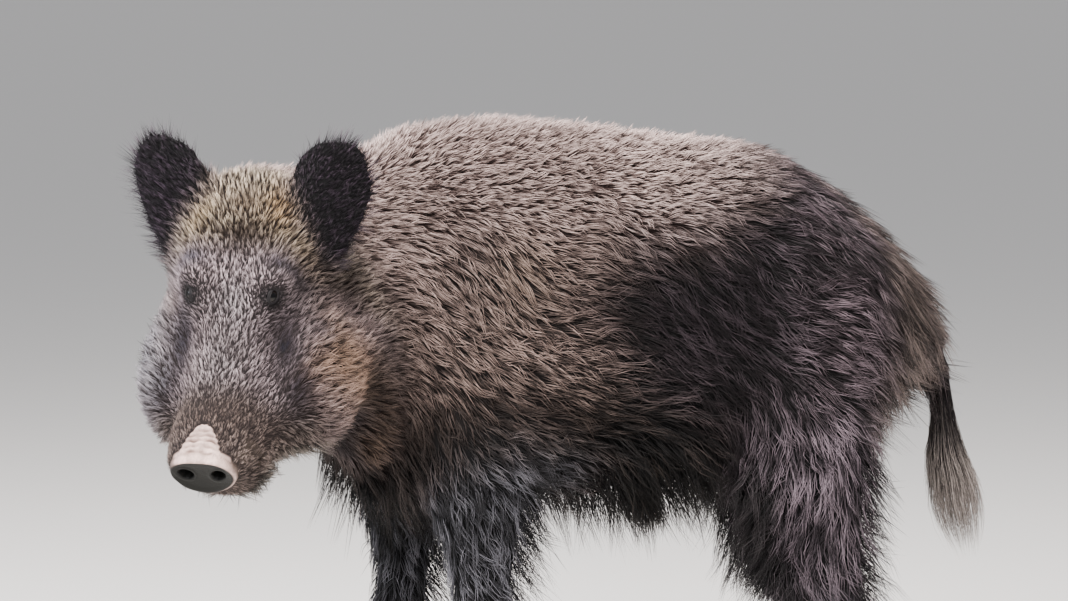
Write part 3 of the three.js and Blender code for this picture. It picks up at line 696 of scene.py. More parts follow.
# Colour, strength, and where each begins and is full: by height in the head's frame, by height above the
# floor, and by distance from the eye's centre.
# the throat: its darker hair, deepened by painted shade under the head
THROAT_SHADE, THROAT_SHADE_STRENGTH, THROAT_SHADE_RUN = "3a3632", 0.7, (-0.095, -0.150)
# low on the breast: dark hair, with painted shade under the lowered head
BREAST_SHADE, BREAST_SHADE_STRENGTH, BREAST_SHADE_RUN = "0a0808", 0.92, (0.53, 0.43)
EYE_PATCH, EYE_PATCH_STRENGTH, EYE_PATCH_RUN = "1a1719", 0.75, (0.027, 0.016)
LID_EDGE = "0b0808"
UNEVEN = (0.12, 0.10)  # how far broad and small patches lighten or darken the tips
# bare skin colours: those of the bridge's creases and the nostrils are painted shade, and those of the
# snout's end and the lips are partly painted shade
BARE_COLOURS = {
    "bridge": "cdb0a6", "crease_shade": "4c3830", "snout_side": "3c332c", "snout_end": "0a0a06",
    "nostril": "050504", "eye_pit": "100d0e", "lips": "120d0b",
}


def ear_ends(side_name):
    """The tip and the root of an ear."""
    points = points_of(NODES[f"ear_{side_name}"].data)
    away = np.linalg.norm(points - EYES_MIDDLE, axis=1)
    return points[away > np.quantile(away, 0.95)].mean(0), points[away < np.quantile(away, 0.1)].mean(0)


class Coat:
    """What the hair is like at each point of the skin."""

    def __init__(self, skin, finder):
        mesh = skin.data
        self.points, self.normals = points_of(mesh), normals_of(mesh)
        self.net = Net(mesh)
        tree, region_of_face = finder
        face, _ = nearest(tree, self.points)
        self.region = region_of_face[face]
        self.weights = self.net.smooth(np.eye(len(NAMES))[self.region], BLENDING)
        on_body = 1 - self.of("head", "jaw", "snout", "ear", "foot", "dock")
        self.weights = self.net.smooth(self.weights, BODY_BLENDING, 0.5 * on_body)
        self.place = to_head(self.points)
        self.disc = to_disc(self.place)
        on_head = np.isin(self.region, HEAD_REGIONS)
        body_side = self.points[:, 1] - middle("barrel").y
        self.side = np.sign(np.where(on_head, self.place[:, 1], body_side) + 1e-9)
        self.patches = self.noise(BROAD)
        self.spots = self.noise(SMALL)
        self.accents = self.find_accents()
        self.lie = self.find_lie()
        self.bare = self.find_bare()

    def noise(self, times):
        """Soft random patches between about -2 and 2, larger the more times they are smoothed."""
        values = self.net.smooth(random.normal(size=len(self.points)), times)
        return (values - values.mean()) / values.std()

    def of(self, *names):
        """How strongly each point belongs to the named regions together."""
        return self.weights[:, [NAMES.index(name) for name in names]].sum(1)

    def level(self, table):
        """A table's rows at each point: the regions' own, with the accents laid over them."""
        values = self.weights @ np.array([table[name] for name in NAMES], float)
        for name, share in self.accents.items():
            values = mix(values, np.array(table[name], float), share)
        return values

    def find_accents(self):
        """How strongly each accent holds at each point."""
        x, y, _ = self.place.T
        facing = self.normals @ HEAD_AXES
        trunk = self.of("barrel", "chest", "rump", "neck")
        ahead = ramp(self.points[:, 0] - middle("barrel").x, *HUMP_RUN)
        height = self.points[:, 2] + 0.016 * self.patches
        head = self.of("head", "jaw", "snout")
        legs = self.of("arm", "thigh", "cannon")
        rear = ramp(-self.normals[:, 0], 0.45, 0.85) * ramp(self.points[:, 2], 0.13, 0.22)
        front = self.of("thigh") * ramp(self.normals[:, 0], 0.4, 0.8)
        top = ramp(height, mix(*HUMP_FROM, ahead), mix(*HUMP_FULL, ahead))
        return {
            "hump": trunk * top * ramp(self.normals[:, 2], -0.3, 0.3),
            "crown": head * ramp(x, 0.085, 0.035) * ramp(facing[:, 2], -0.3, 0.1),
            "cheek": head * bump(x, 0.170, 0.090) * ramp(np.abs(y) + 0.007 * self.spots, 0.085, 0.125),
            "muzzle": head * ramp(x, 0.235, 0.285) * ramp(facing[:, 2], -0.35, 0.05),
            "belly": self.of("barrel", "chest", "rump") * ramp(-self.normals[:, 2], 0.25, 0.8),
            "fringe": legs * np.maximum(rear, front) * ramp(self.points[:, 2], 0.46, 0.38),
            "rim": self.of("ear") * ramp(self.ear_facing(), 0.85, 0.50),
            # rear-facing rump, whose tips carry part of a painted highlight
            "skirt": self.of("rump") * ramp(-self.normals[:, 0], 0.35, 0.75),
        }

    def ear_facing(self):
        """1 on the flat faces of the ears and 0 on their rims."""
        facing = np.zeros(len(self.points))
        for side_name, side in SIDES.items():
            shape = points_of(NODES[f"ear_{side_name}"].data)
            flat = np.linalg.svd(shape - shape.mean(0), full_matrices=False)[2][2]
            facing += (np.sign(self.place[:, 1]) == side) * np.abs(self.normals @ flat)
        return facing

    def find_lie(self):
        """The way that the hair points, along the skin at each point."""
        count = len(self.points)
        outward = np.sign(self.place[:, 1])
        vectors = {name: np.tile(np.array(way, float), (count, 1)) for name, way in LIE.items()}
        for name, way in HEAD_LIE.items():
            local = np.tile(np.array(way, float), (count, 1))
            local[:, 1] *= outward
            if name in ("head", "snout"):
                local[:, 1] = np.clip(self.place[:, 1] * FACE_PARTING, -0.4, 0.4)
            vectors[name] = local @ HEAD_AXES.T
        cheek = vectors.pop("cheek")
        vectors["ear"] = np.zeros((count, 3))
        for side_name, side in SIDES.items():
            tip, root = ear_ends(side_name)
            vectors["ear"] += (outward == side)[:, None] * unit(tip - root)
        # Hair parts down the middle of the thigh and sweeps back over the forearm.
        forward = np.clip(self.normals[:, 0], -0.45, 0.45)
        down = -np.ones(count)
        across = np.zeros(count)
        vectors["thigh"] = np.stack([forward * 0.9 - 0.08, across, down], 1)
        sweep = ramp(self.points[:, 2], 0.24, 0.40)
        vectors["arm"] = np.stack([-0.35 - 0.75 * sweep, across, down + 0.35 * sweep], 1)
        lie = sum(self.weights[:, [i]] * vectors[name] for i, name in enumerate(NAMES))
        lie = mix(lie, cheek, self.accents["cheek"])
        lie = self.net.smooth(lie, LIE_SMOOTHING)
        lie -= self.normals * (lie * self.normals).sum(1, keepdims=True)
        lie = unit(lie)
        turn = SWIRL[0] * self.patches + SWIRL[1] * self.noise(MIDDLING)
        turn *= 1 - SWIRL_CALM * self.of("head", "snout", "ear", "foot")
        side = np.cross(self.normals, lie)
        return lie * np.cos(turn)[:, None] + side * np.sin(turn)[:, None]

    def find_bare(self):
        """1 where the skin has no tufts: the snout's end, the bridge behind it, the lids and the lips."""
        top = ramp(self.normals @ HEAD_AXES[:, 2], 0.05, 0.3)
        bridge = ramp(bridge_reach(self.place), 1.08, 0.98) * top
        low = ramp(self.disc[:, 2], 0.026, 0.014)
        end = ramp(self.disc[:, 0], mix(-0.007, 0.002, low), mix(-0.003, 0.005, low))
        lids = ramp(np.min([lids_reach(self.points, name) for name in SIDES], axis=0), 0.98, 0.92)
        lips = ramp(np.abs(mouth_height(self.place)), 0.003, 0.002) * on_lips(self.place)
        return np.max([bridge, end, lids, lips], axis=0)


def soft_patches(tip, marks, along, across, share):
    """Colours laid over the tips in soft oval patches."""
    for (x, y), (long, wide), colour, strength in marks:
        near = np.exp(-(((along - x) / long) ** 2) - ((across - y) / wide) ** 2)
        tip = mix(tip, linear(colour), strength * near * share)
    return tip


def markings(coat):
    """Root colour and tip colour at each point of the skin."""
    root = coat.level({name: linear(pair[0]) for name, pair in COLOURS.items()})
    tip = coat.level({name: linear(pair[1]) for name, pair in COLOURS.items()})
    facing = ramp(coat.normals @ HEAD_AXES[:, 2], -0.9, 0.1)
    head = (coat.of("head", "snout") + 0.5 * coat.of("jaw")) * facing
    tip = soft_patches(tip, MARKS, coat.place[:, 0], coat.place[:, 1], head)
    trunk = coat.of("barrel", "chest", "neck", "rump") * (1 - coat.accents["hump"])
    tip = soft_patches(tip, BODY_MARKS, coat.points[:, 0], coat.points[:, 2], trunk)
    tip = mix(tip, linear(EYE_PATCH), EYE_PATCH_STRENGTH * ramp(near_eyes(coat.points), *EYE_PATCH_RUN))
    # painted shade under the head and jaw, over darker throat hair
    under = coat.of("head", "jaw") * ramp(coat.place[:, 2], *THROAT_SHADE_RUN)
    tip = mix(tip, linear(THROAT_SHADE), THROAT_SHADE_STRENGTH * under)
    # painted shade low on the breast and neck, under the head
    dark = ramp(coat.points[:, 2], *BREAST_SHADE_RUN) * coat.of("chest", "neck")
    tip = mix(tip, linear(BREAST_SHADE), BREAST_SHADE_STRENGTH * dark)
    tip = np.maximum(tip * (1 + UNEVEN[0] * coat.patches + UNEVEN[1] * coat.spots)[:, None], 0)
    tip = tip / np.maximum(tip.max(axis=1, keepdims=True), 1)
    return np.minimum(root, tip), tip


# ---------------------------------------------------------------- tufts

TO_A_LOCK = 4  # tufts that gather to one tip
LOCK_REACH = 0.022  # a tuft further than this from its lock's leader doesn't follow it
LOCK_ALIKE = 0.75  # how far the tufts of a lock share one colour
ROOT_SUNK = 0.0012  # how deep a tuft starts in the skin
PATCH = 0.003  # size of a tuft's patch on the map
MOST_TRIANGLES = 195e3
EDGE_PAINTED_SHADE = 0.34  # painted shade: brightness of a tuft's edges, as a share of its ridge's
RIDGE = 0.36  # height of a tuft's ridge over its middle, as a share of its width
ROOT_WIDE, TAPER = 0.8, 2.2  # width at the root as a share of the widest, and how late a tuft tapers
SHORT_BY_EYES = 0.5  # length of the fur at the lids, as a share of the face's
EYE_FUR = (0.014, 0.040)  # distances from the eye's centre that it grows to full length between
LIE_STRAYS, LOCK_LIE = 0.30, 0.45  # how far a tuft's lie strays, and how far its lock draws it back
LENGTHS, WIDTHS, SHADES = (0.60, 1.25), (0.65, 1.25), (0.7, 1.1)  # least and most, against the mean
LIFTS, LOCK_LIFTS = (0.5, 1.5), (0.6, 1.4)  # the same for one tuft and for its lock
TURNS = (0.7, 1.5)  # waves along a tuft
STRAY_PHASE, STRAY_RISE = 0.08, 0.14  # how far a tuft's waves and pale part may shift
DARK_TIP = 0.10  # how far a tuft with no pale part leaves its root's colour
PALE_RUN = (0.22, 0.30)  # how far before and after its rise a tuft turns pale
# painted shade: brightness of a tuft's tip, as a share of its ridge's
TIP_PAINTED_SHADE = 0.9
GATHERS_LATE = 1.3  # a tuft turns to its lock in the later part of its length
SAG = 0.10  # how far a tip hangs, as a share of the tuft's length


def corner_values(mesh):
    """The skin's triangles, their corners' places on the map, and their areas."""
    mesh.calc_loop_triangles()
    corners = read(mesh.loop_triangles, "vertices", 3, np.int64)
    loops = read(mesh.loop_triangles, "loops", 3, np.int64)
    uv = read(mesh.uv_layers["OFBake"].uv, "vector", 2)
    return corners, uv[loops], read(mesh.loop_triangles, "area", 1)[:, 0]


class Roots:
    """Where tufts grow and what each is like. Values are arrays with one row to a tuft."""

    def __init__(self, **values):
        self.__dict__.update(values)

    def __len__(self):
        return len(self.point)

    def only(self, chosen):
        return Roots(**{name: value[chosen] for name, value in self.__dict__.items()})


def coat_values(coat):
    """Every value that a tuft takes from the skin under it."""
    values = dict(zip(COLUMNS, coat.level(HAIR).T))
    for name in ("length", "width", "wave"):
        values[name] = values[name] / 1000
    values["length"] = values["length"] * mix(SHORT_BY_EYES, 1.0, ramp(near_eyes(coat.points), *EYE_FUR))
    values["lift"] = np.radians(values["lift"])
    values["density"] = values["density"] * 1000 * (1 - coat.bare)
    values["root"], values["tip"] = markings(coat)
    values["cheek"] = coat.accents["cheek"]
    return values | {"point": coat.points, "normal": coat.normals, "lie": coat.lie}


def scatter(coat, triangles, values):
    """Roots spread over the skin by its density, with the values found between its points."""
    corners, uv, area = triangles
    total = np.cumsum(values["density"][corners].mean(1) * area)
    count = int(total[-1])
    which = np.searchsorted(total, (np.arange(count) + random.random(count)) / count * total[-1])
    which = np.minimum(which, len(corners) - 1)
    a, b = np.sqrt(random.random(count)), random.random(count)
    share = np.stack([1 - a, a * (1 - b), a * b], 1)
    at = corners[which]
    found = {name: np.einsum("kc,kc...->k...", share, value[at]) for name, value in values.items()}
    found["uv"] = np.einsum("kc,kcx->kx", share, uv[which])
    found["region"] = np.where(found["cheek"] > 0.5, CHEEK, coat.region[at[:, 0]])
    found["side"] = coat.side[at[:, 0]]
    return Roots(**found)


def lock_leaders(points):
    """For each tuft, the tuft that its lock follows, which is itself where none is near."""
    chosen = random.permutation(len(points))[: max(1, len(points) // TO_A_LOCK)]
    tree = KDTree(len(chosen))
    for i in chosen:
        tree.insert(points[i], i)
    tree.balance()
    found = [tree.find(p) for p in points]
    return np.array([at if away < LOCK_REACH else i for i, (_, at, away) in enumerate(found)])


def vary(roots, leader):
    """Makes each tuft differ from its neighbours, less so within a lock."""
    count = len(roots)
    roots.normal = unit(roots.normal)
    lie = roots.lie + LIE_STRAYS * random.normal(size=(count, 3))
    lie = mix(lie, lie[leader], LOCK_LIE)
    lie -= roots.normal * (lie * roots.normal).sum(1, keepdims=True)
    roots.lie = unit(lie)
    roots.length = roots.length * random.uniform(*LENGTHS, count)
    lift = random.uniform(*LIFTS, count)
    roots.lift = roots.lift * mix(lift, random.uniform(*LOCK_LIFTS, count)[leader], 0.5)
    roots.width = roots.width * random.uniform(*WIDTHS, count)
    roots.turns = random.uniform(*TURNS, count)[leader]
    roots.phase = random.random(count)[leader] + random.uniform(-STRAY_PHASE, STRAY_PHASE, count)
    roots.sag = roots.length * SAG
    roots.rise = roots.rise + random.uniform(-STRAY_RISE, STRAY_RISE, count)
    pale = (random.random(count) < roots.pale).astype(float)
    pale = mix(pale, pale[leader], LOCK_ALIKE)
    shade = random.uniform(*SHADES, count)
    shade = mix(shade, random.uniform(*SHADES, count)[leader], LOCK_ALIKE)
    roots.tip = mix(roots.root, roots.tip, (mix(DARK_TIP, 1.0, pale) * shade)[:, None])


def centre_lines(roots, steps, leader):
    """The line of each tuft: it leaves the skin at its lift, bends back, waves, and joins its lock."""
    t = np.linspace(0, 1, steps + 1)
    between = (t[1:] + t[:-1]) / 2
    lift = roots.lift[:, None] * (1 - roots.bend[:, None] * between)
    step = roots.length[:, None] / steps
    along = np.concatenate([np.zeros((len(roots), 1)), np.cumsum(np.cos(lift) * step, 1)], 1)
    up = np.concatenate([np.zeros((len(roots), 1)), np.cumsum(np.sin(lift) * step, 1)], 1) - ROOT_SUNK
    side = np.cross(roots.lie, roots.normal)
    swing = roots.wave[:, None] * np.sin(2 * np.pi * (t * roots.turns[:, None] + roots.phase[:, None])) * t
    line = roots.point[:, None] + roots.lie[:, None] * along[..., None]
    line += roots.normal[:, None] * up[..., None] + side[:, None] * swing[..., None]
    line[:, :, 2] -= roots.sag[:, None] * t**2
    pull = roots.gather[:, None] * t**GATHERS_LATE
    return line + (line[leader] - line) * pull[..., None]


def tuft_faces(count, rings):
    """Corner indexes of closed three-sided tufts, each of a number of rings and a tip."""
    faces = [(2, 1, 0)]
    for r in range(rings - 1):
        for k in range(3):
            a, b = r * 3 + k, r * 3 + (k + 1) % 3
            faces += [(a, b, b + 3), (a, b + 3, a + 3)]
    last = (rings - 1) * 3
    faces += [(last + k, last + (k + 1) % 3, last + 3) for k in range(3)]
    per = rings * 3 + 1
    return (np.array(faces)[None] + (np.arange(count) * per)[:, None, None]).reshape(-1)


def tuft_mesh(name, roots, lines, material):
    """Tapering tufts along the lines, as one piece, with painted shade: a bright ridge on top of each and
    darker edges.
    """
    count, rings = lines.shape[0], lines.shape[1] - 1
    t = np.linspace(0, 1, rings + 1)
    way = unit(np.gradient(lines, axis=1))
    side = unit(np.cross(way, roots.normal[:, None]))
    out = np.cross(side, way)
    width = roots.width[:, None] * np.array([ROOT_WIDE, *(1 - t[1:] ** TAPER)])
    turns = np.radians([90, 210, 330])
    ring = side[:, :, None] * (np.cos(turns) / 2)[:, None]
    ring = ring + out[:, :, None] * (np.sin(turns) * RIDGE)[:, None]
    body = (lines[:, :, None] + ring * width[..., None, None])[:, :rings].reshape(count, -1, 3)
    points = np.concatenate([body, lines[:, -1:]], 1)
    per = points.shape[1]
    corner = tuft_faces(count, rings)
    mesh = bpy.data.meshes.new(name)
    mesh.vertices.add(count * per)
    mesh.vertices.foreach_set("co", points.astype(np.float32).ravel())
    mesh.loops.add(len(corner))
    mesh.loops.foreach_set("vertex_index", corner.astype(np.int32))
    mesh.polygons.add(len(corner) // 3)
    mesh.polygons.foreach_set("loop_start", np.arange(0, len(corner), 3, dtype=np.int32))
    mesh.update(calc_edges=True)
    mesh.shade_smooth()
    height = np.array([*np.repeat(t[:rings], 3), 1.0])
    across = np.array([*np.tile([0.5, 0.0, 1.0], rings), 0.5])
    uv = roots.uv[:, None] + PATCH * np.stack([across - 0.5, height - 0.5], 1)[None]
    layer = mesh.uv_layers.new(name="OFBake")
    layer.uv.foreach_set("vector", uv.reshape(-1, 2)[corner].astype(np.float32).ravel())
    pale = ramp(height[None], roots.rise[:, None] - PALE_RUN[0], roots.rise[:, None] + PALE_RUN[1])
    colour = mix(roots.root[:, None], roots.tip[:, None], pale)
    # painted shade across each tuft: its ridge bright, its edges and tip darker
    edge = np.array([*np.tile([1.0, EDGE_PAINTED_SHADE, EDGE_PAINTED_SHADE], rings), TIP_PAINTED_SHADE])
    paint(mesh, (colour * edge[None, :, None]).reshape(-1, 3))
    mesh.materials.append(material)
    piece = place_object(name, mesh)
    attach(piece, "root")
    return piece


def grow_coat(roots, materials):
    """The coat, in one piece to a region and side."""
    for index, (name, steps, slot) in enumerate([*zip(NAMES, STEPS, SLOTS), CHEEK_KIND]):
        most = int(MOST_TRIANGLES / (6 * steps - 2))
        for side_name, side in SIDES.items():
            chosen = roots.only((roots.region == index) & (roots.side == side))
            if len(chosen) > most:
                chosen = chosen.only(np.sort(random.permutation(len(chosen))[:most]))
            leader = lock_leaders(chosen.point)
            vary(chosen, leader)
            lines = centre_lines(chosen, steps, leader)
            tuft_mesh(f"coat_{name}_{side_name}", chosen, lines, materials[slot])


# ---------------------------------------------------------------- hanging brushes

BRUSHES = {  # number of tufts, steps, width in millimetres, colours at root and tip, reach of the roots
    "tail_brush": (1250, 6, 1.15, "1a1416", "c6b9b1", 0.075),
    "belly_brush": (380, 5, 1.7, "050405", "38322f", 0.070),
}
BRUSH_LEVELS = 9
BRUSH_WAVE, BRUSH_WAVES = 0.007, (0.3, 1.3)  # size of the tufts' waves, and its least and most
BRUSH_TURNS = (0.8, 2.4)  # waves along a tuft
BRUSH_LENGTHS, BRUSH_WIDTHS, BRUSH_SHADES = (0.45, 1.0), (0.6, 1.2), (0.12, 1.15)
BRUSH_RISES = (0.2, 0.6)  # where the tufts turn pale, as a share of their length
BRUSH_FLARE = 0.35
WISP = 0.022  # how far the longest tips hang out of the brush


def brush_axis(node):
    """The middle and the mean radius of a hanging brush, from its top down."""
    points = points_of(NODES[node].data)
    low, high = points[:, 2].min(), points[:, 2].max()
    levels = np.linspace(high, low, BRUSH_LEVELS)
    near = np.exp(-(((points[:, 2][None] - levels[:, None]) / ((high - low) / BRUSH_LEVELS)) ** 2))
    centre = near @ points / near.sum(1, keepdims=True)
    centre[:, 2] = levels
    away = np.linalg.norm(points[None, :, :2] - centre[:, None, :2], axis=2)
    return centre, (near * away).sum(1) / near.sum(1)


def grow_brush(node, roots, material):
    """Long tufts that leave the flesh at the brush's top and hang down through it."""
    count, steps, width, root, tip, reach = BRUSHES[node]
    centre, radius = brush_axis(node)
    away = np.linalg.norm(roots.point - centre[0], axis=1)
    near = np.flatnonzero(away < reach)
    roots = roots.only(random.choice(near, count))
    t = np.linspace(0, 1, steps + 1)
    share = random.uniform(*BRUSH_LENGTHS, count)[:, None] * t * (BRUSH_LEVELS - 1)
    level = np.arange(BRUSH_LEVELS)
    path = np.stack([np.interp(share, level, centre[:, axis]) for axis in range(3)], -1)
    spread = np.interp(share, level, radius)
    turn, out = random.uniform(0, 2 * np.pi, (count, 1)), np.sqrt(random.random((count, 1)))
    turns = t * random.uniform(*BRUSH_TURNS, (count, 1)) + random.random((count, 1))
    wave = BRUSH_WAVE * random.uniform(*BRUSH_WAVES, (count, 1)) * np.sin(2 * np.pi * turns) * t
    flare = out * spread * (1 + BRUSH_FLARE * t**2)
    path[..., 0] += np.cos(turn) * flare + wave
    path[..., 1] += np.sin(turn) * flare + wave
    path[..., 2] -= WISP * random.random((count, 1)) ** 2 * t**2
    lines = mix(roots.point[:, None], path, ramp(t, -0.05, 0.30)[None])
    shade = random.uniform(*BRUSH_SHADES, (count, 1))
    roots.width = width / 1000 * random.uniform(*BRUSH_WIDTHS, count)
    roots.root = np.tile(linear(root), (count, 1))
    roots.tip = linear(tip) * shade
    roots.rise = random.uniform(*BRUSH_RISES, count)
    roots.normal = unit(np.stack([np.cos(turn[:, 0]), np.sin(turn[:, 0]), np.full(count, 0.1)], 1))
    piece = tuft_mesh(f"{node}_hair", roots, lines, material)
    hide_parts(node)


# ---------------------------------------------------------------- materials

class Material:
    """A material, with the kinds of node that the animal's materials share."""

    def __init__(self, name, specular):
        self.data = bpy.data.materials.new(name)
        self.data.use_nodes = True
        self.nodes, self.links = self.data.node_tree.nodes, self.data.node_tree.links
        self.shader = self.nodes["Principled BSDF"]
        self.shader.inputs["Specular IOR Level"].default_value = specular
        self.place = self.add("TexCoord")["Object"]

    def add(self, kind, inputs=None, **settings):
        """The outputs of a new node. Its inputs are values, or outputs of other nodes."""
        made = self.nodes.new(f"ShaderNode{kind}")
        for name, value in settings.items():
            setattr(made, name, value)
        for name, value in (inputs or {}).items():
            if isinstance(value, bpy.types.NodeSocket):
                self.links.new(value, made.inputs[name])
            else:
                made.inputs[name].default_value = value
        return made.outputs

    def use(self, name, value):
        """Links a value to the shader."""
        self.links.new(value, self.shader.inputs[name])

    def grain(self, scale, detail):
        """Fine irregular grain in the object's own space."""
        return self.add("TexNoise", {"Vector": self.place, "Scale": scale, "Detail": detail})["Fac"]

    def spread(self, value, low, high, start=0.0, end=1.0):
        """A value between start and end, spread from low to high."""
        inputs = {"Value": value, "From Min": start, "From Max": end, "To Min": low, "To Max": high}
        return self.add("MapRange", inputs)["Result"]

    def total(self, a, b):
        """The sum of two values."""
        return self.add("Math", {0: a, 1: b}, operation="ADD")["Value"]

    def paint(self, factor):
        """The colour that the mesh carries, brighter or darker by a factor."""
        colour = self.add("Attribute", attribute_name="hair")["Color"]
        tinted = self.add("VectorMath", {0: colour, "Scale": factor}, operation="SCALE")["Vector"]
        self.use("Base Color", tinted)

    def relief(self, height, strength, distance):
        """Fine relief in the shading alone."""
        inputs = {"Height": height, "Strength": strength, "Distance": distance}
        self.use("Normal", self.add("Bump", inputs)["Normal"])


def hair_material(name, roughness):
    """Hair in the colour of its markings, with fine darker streaks."""
    hair = Material(name, 0.22)
    grain = hair.grain(420, 2)
    hair.paint(hair.spread(grain, 0.80, 1.16, 0.3, 0.7))
    hair.use("Roughness", hair.spread(grain, roughness - 0.08, roughness + 0.12))
    return hair.data


def skin_material():
    """Short underfur, darkened by painted shade in its colour, and bare grained skin on the snout and
    lids.
    """
    skin = Material("skin", 0.20)
    grain = skin.grain(260, 4)
    skin.paint(skin.spread(grain, 0.80, 1.15, 0.3, 0.7))
    bare = skin.add("Attribute", attribute_name="bare")["Fac"]
    skin.use("Roughness", skin.spread(bare, 0.85, 0.48))
    cells = skin.add("TexVoronoi", {"Vector": skin.place, "Scale": 480})["Distance"]
    skin.relief(skin.total(grain, cells), 0.5, 0.0008)
    return skin.data


def eye_material():
    """A wet dark brown eye with a black pupil."""
    eye = Material("eye", 0.28)
    grain = eye.grain(900, 3)
    eye.paint(eye.spread(grain, 0.7, 1.3, 0.3, 0.7))
    eye.use("Roughness", eye.spread(grain, 0.10, 0.20))
    return eye.data


def horn_material():
    """Dark horn, streaked along its growth and worn paler towards the floor."""
    horn = Material("horn", 0.30)
    inputs = {"Vector": horn.place, "Scale": 85, "Distortion": 5, "Detail": 3, "Detail Scale": 1.5}
    bands = horn.add("TexWave", inputs, bands_direction="Z")["Fac"]
    height = horn.add("SeparateXYZ", {"Vector": horn.place})["Z"]
    worn = horn.total(horn.spread(height, 0.75, 0.05, 0.0, 0.035), horn.spread(bands, 0.0, 0.30))
    colours = horn.nodes.new("ShaderNodeValToRGB")
    for element, code in zip(colours.color_ramp.elements, ("1d1815", "4a4038")):
        element.color = (*linear(code), 1)
    horn.links.new(worn, colours.inputs["Fac"])
    horn.use("Base Color", colours.outputs["Color"])
    horn.use("Roughness", horn.spread(bands, 0.42, 0.60))
    horn.relief(bands, 0.35, 0.0006)
    return horn.data


def paint(mesh, colour, bare=None):
    """Gives each point of a mesh its colour and, on skin, how bare it is."""
    rgba = np.concatenate([colour, np.ones((len(colour), 1))], 1)
    mesh.color_attributes.new("hair", "FLOAT_COLOR", "POINT")
    mesh.color_attributes["hair"].data.foreach_set("color", rgba.astype(np.float32).ravel())
    if bare is not None:
        mesh.attributes.new("bare", "FLOAT", "POINT")
        mesh.attributes["bare"].data.foreach_set("value", bare.astype(np.float32))


UNDERFUR_SHADE = 0.4  # brightness of the skin under the coat, as a share of the roots': painted shade for the coat's shadow on it


def paint_skin(skin, coat):
    """The markings on the skin: the coat's own colours, darkened by painted shade under the coat, and the
    bare parts'.
    """
    root, _ = markings(coat)
    # painted shade: the skin under the coat is darker than the roots
    colour = root * UNDERFUR_SHADE
    bare = {name: linear(code) for name, code in BARE_COLOURS.items()}
    reach = disc_reach(coat.disc)
    bridge = bare["bridge"][None] * (1 + 0.14 * coat.spots)[:, None]
    # painted shade in the creases across the bare bridge
    creases = np.clip(fold_depth(coat.place) / max(FOLD_DEPTHS), 0, 1)
    bridge = mix(bridge, bare["crease_shade"], 0.9 * creases * ramp(coat.disc[:, 0], 0.006, 0.001))
    colour = mix(colour, bridge, coat.bare * ramp(coat.place[:, 0], 0.30, 0.32))
    rim = mix(0.95, 0.84, ramp(coat.disc[:, 2], 0, 0.8 * DISC_HIGH))
    face = ramp(coat.disc[:, 0], -0.02, -0.015) * ramp(reach, rim + 0.04, rim - 0.04)
    ahead = coat.normals @ (HEAD_AXES @ np.array([math.cos(DISC_TILT), 0, math.sin(DISC_TILT)]))
    behind = ramp(ahead, 0.55, 0.15) * ramp(coat.disc[:, 2], 0.028, 0.014) * ramp(reach, 0.8, 0.95)
    colour = mix(colour, bare["snout_side"], 0.9 * behind * (coat.place[:, 0] > BRIDGE_TOP))
    # the snout's end: its own dark skin, darkened further by painted shade as it faces down
    colour = mix(colour, bare["snout_end"], face)
    # painted shade inside the nostrils, near black
    colour = mix(colour, bare["nostril"], ramp(nostril_reach(coat.disc), 1.25, 0.95) * ramp(reach, 1, 0.9))
    colour = mix(colour, bare["eye_pit"], ramp(near_eyes(coat.points), 0.021, 0.016))
    # the lips' dark skin, with painted shade in the groove between them
    lips = ramp(np.abs(mouth_height(coat.place)), 0.004, 0.002) * on_lips(coat.place)
    paint(skin.data, mix(colour, bare["lips"], lips), coat.bare)


def unwrap(skin):
    """A map of the skin by its own shape."""
    bpy.context.view_layer.objects.active = skin
    skin.select_set(True)
    skin.data.uv_layers.new(name="OFBake")
    bpy.ops.object.mode_set(mode="EDIT")
    bpy.ops.mesh.select_all(action="SELECT")
    bpy.ops.uv.smart_project(angle_limit=math.radians(70), island_margin=0.002)
    bpy.ops.object.mode_set(mode="OBJECT")


# ---------------------------------------------------------------- eyes and claws

PUPIL, IRIS = 0.30, 0.78  # their edges, in radians from the middle of the gaze
PUPIL_COLOUR, IRIS_COLOUR, RIM_COLOUR = "010101", "0c0705", "040303"


def add_eye(side_name, side, material):
    """A smooth eyeball with a pupil and an iris."""
    shape = bmesh.new()
    bmesh.ops.create_uvsphere(shape, u_segments=40, v_segments=28, radius=EYE_RADIUS)
    mesh = bpy.data.meshes.new(f"eyeball_{side_name}")
    shape.to_mesh(mesh)
    shape.free()
    points = points_of(mesh)
    _, _, look = eye_axes(side)
    away = np.arccos(np.clip(unit(points) @ look, -1, 1))
    colour = mix(linear(PUPIL_COLOUR)[None], linear(IRIS_COLOUR)[None], ramp(away, PUPIL, PUPIL + 0.08))
    colour = mix(colour, linear(RIM_COLOUR)[None], ramp(away, IRIS - 0.1, IRIS + 0.05))
    set_points(mesh, points + eye_centre(side_name))
    paint(mesh, colour)
    mesh.shade_smooth()
    mesh.materials.append(material)
    eyeball = place_object(f"eyeball_{side_name}", mesh)
    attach(eyeball, "root")
    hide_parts(f"eye_{side_name}")


LID_RINGS = [  # size against the opening, height over the eyeball, share of the skin's own height
    (0.97, -0.0012, 0), (0.98, 0.0002, 0), (1.02, 0.0012, 0), (1.12, 0.0018, 0), (1.22, 0.0016, 0.05),
    (1.28, 0.0007, 0.10), (1.34, 0.0018, 0.2), (1.43, 0.0022, 0.5), (LIDS_REACH, 0.0015, 1.0),
]
LID_TURNS = 72
LID_BACK = 0.0035  # how far behind its face the back of the lids lies
LID_CORNERS = 0.35  # how pointed the corners of the opening are
LID_TUCK = 0.0012  # how far the outer ring dips under the skin
LID_PROBE = 0.05  # the skin's height is measured from this far outside


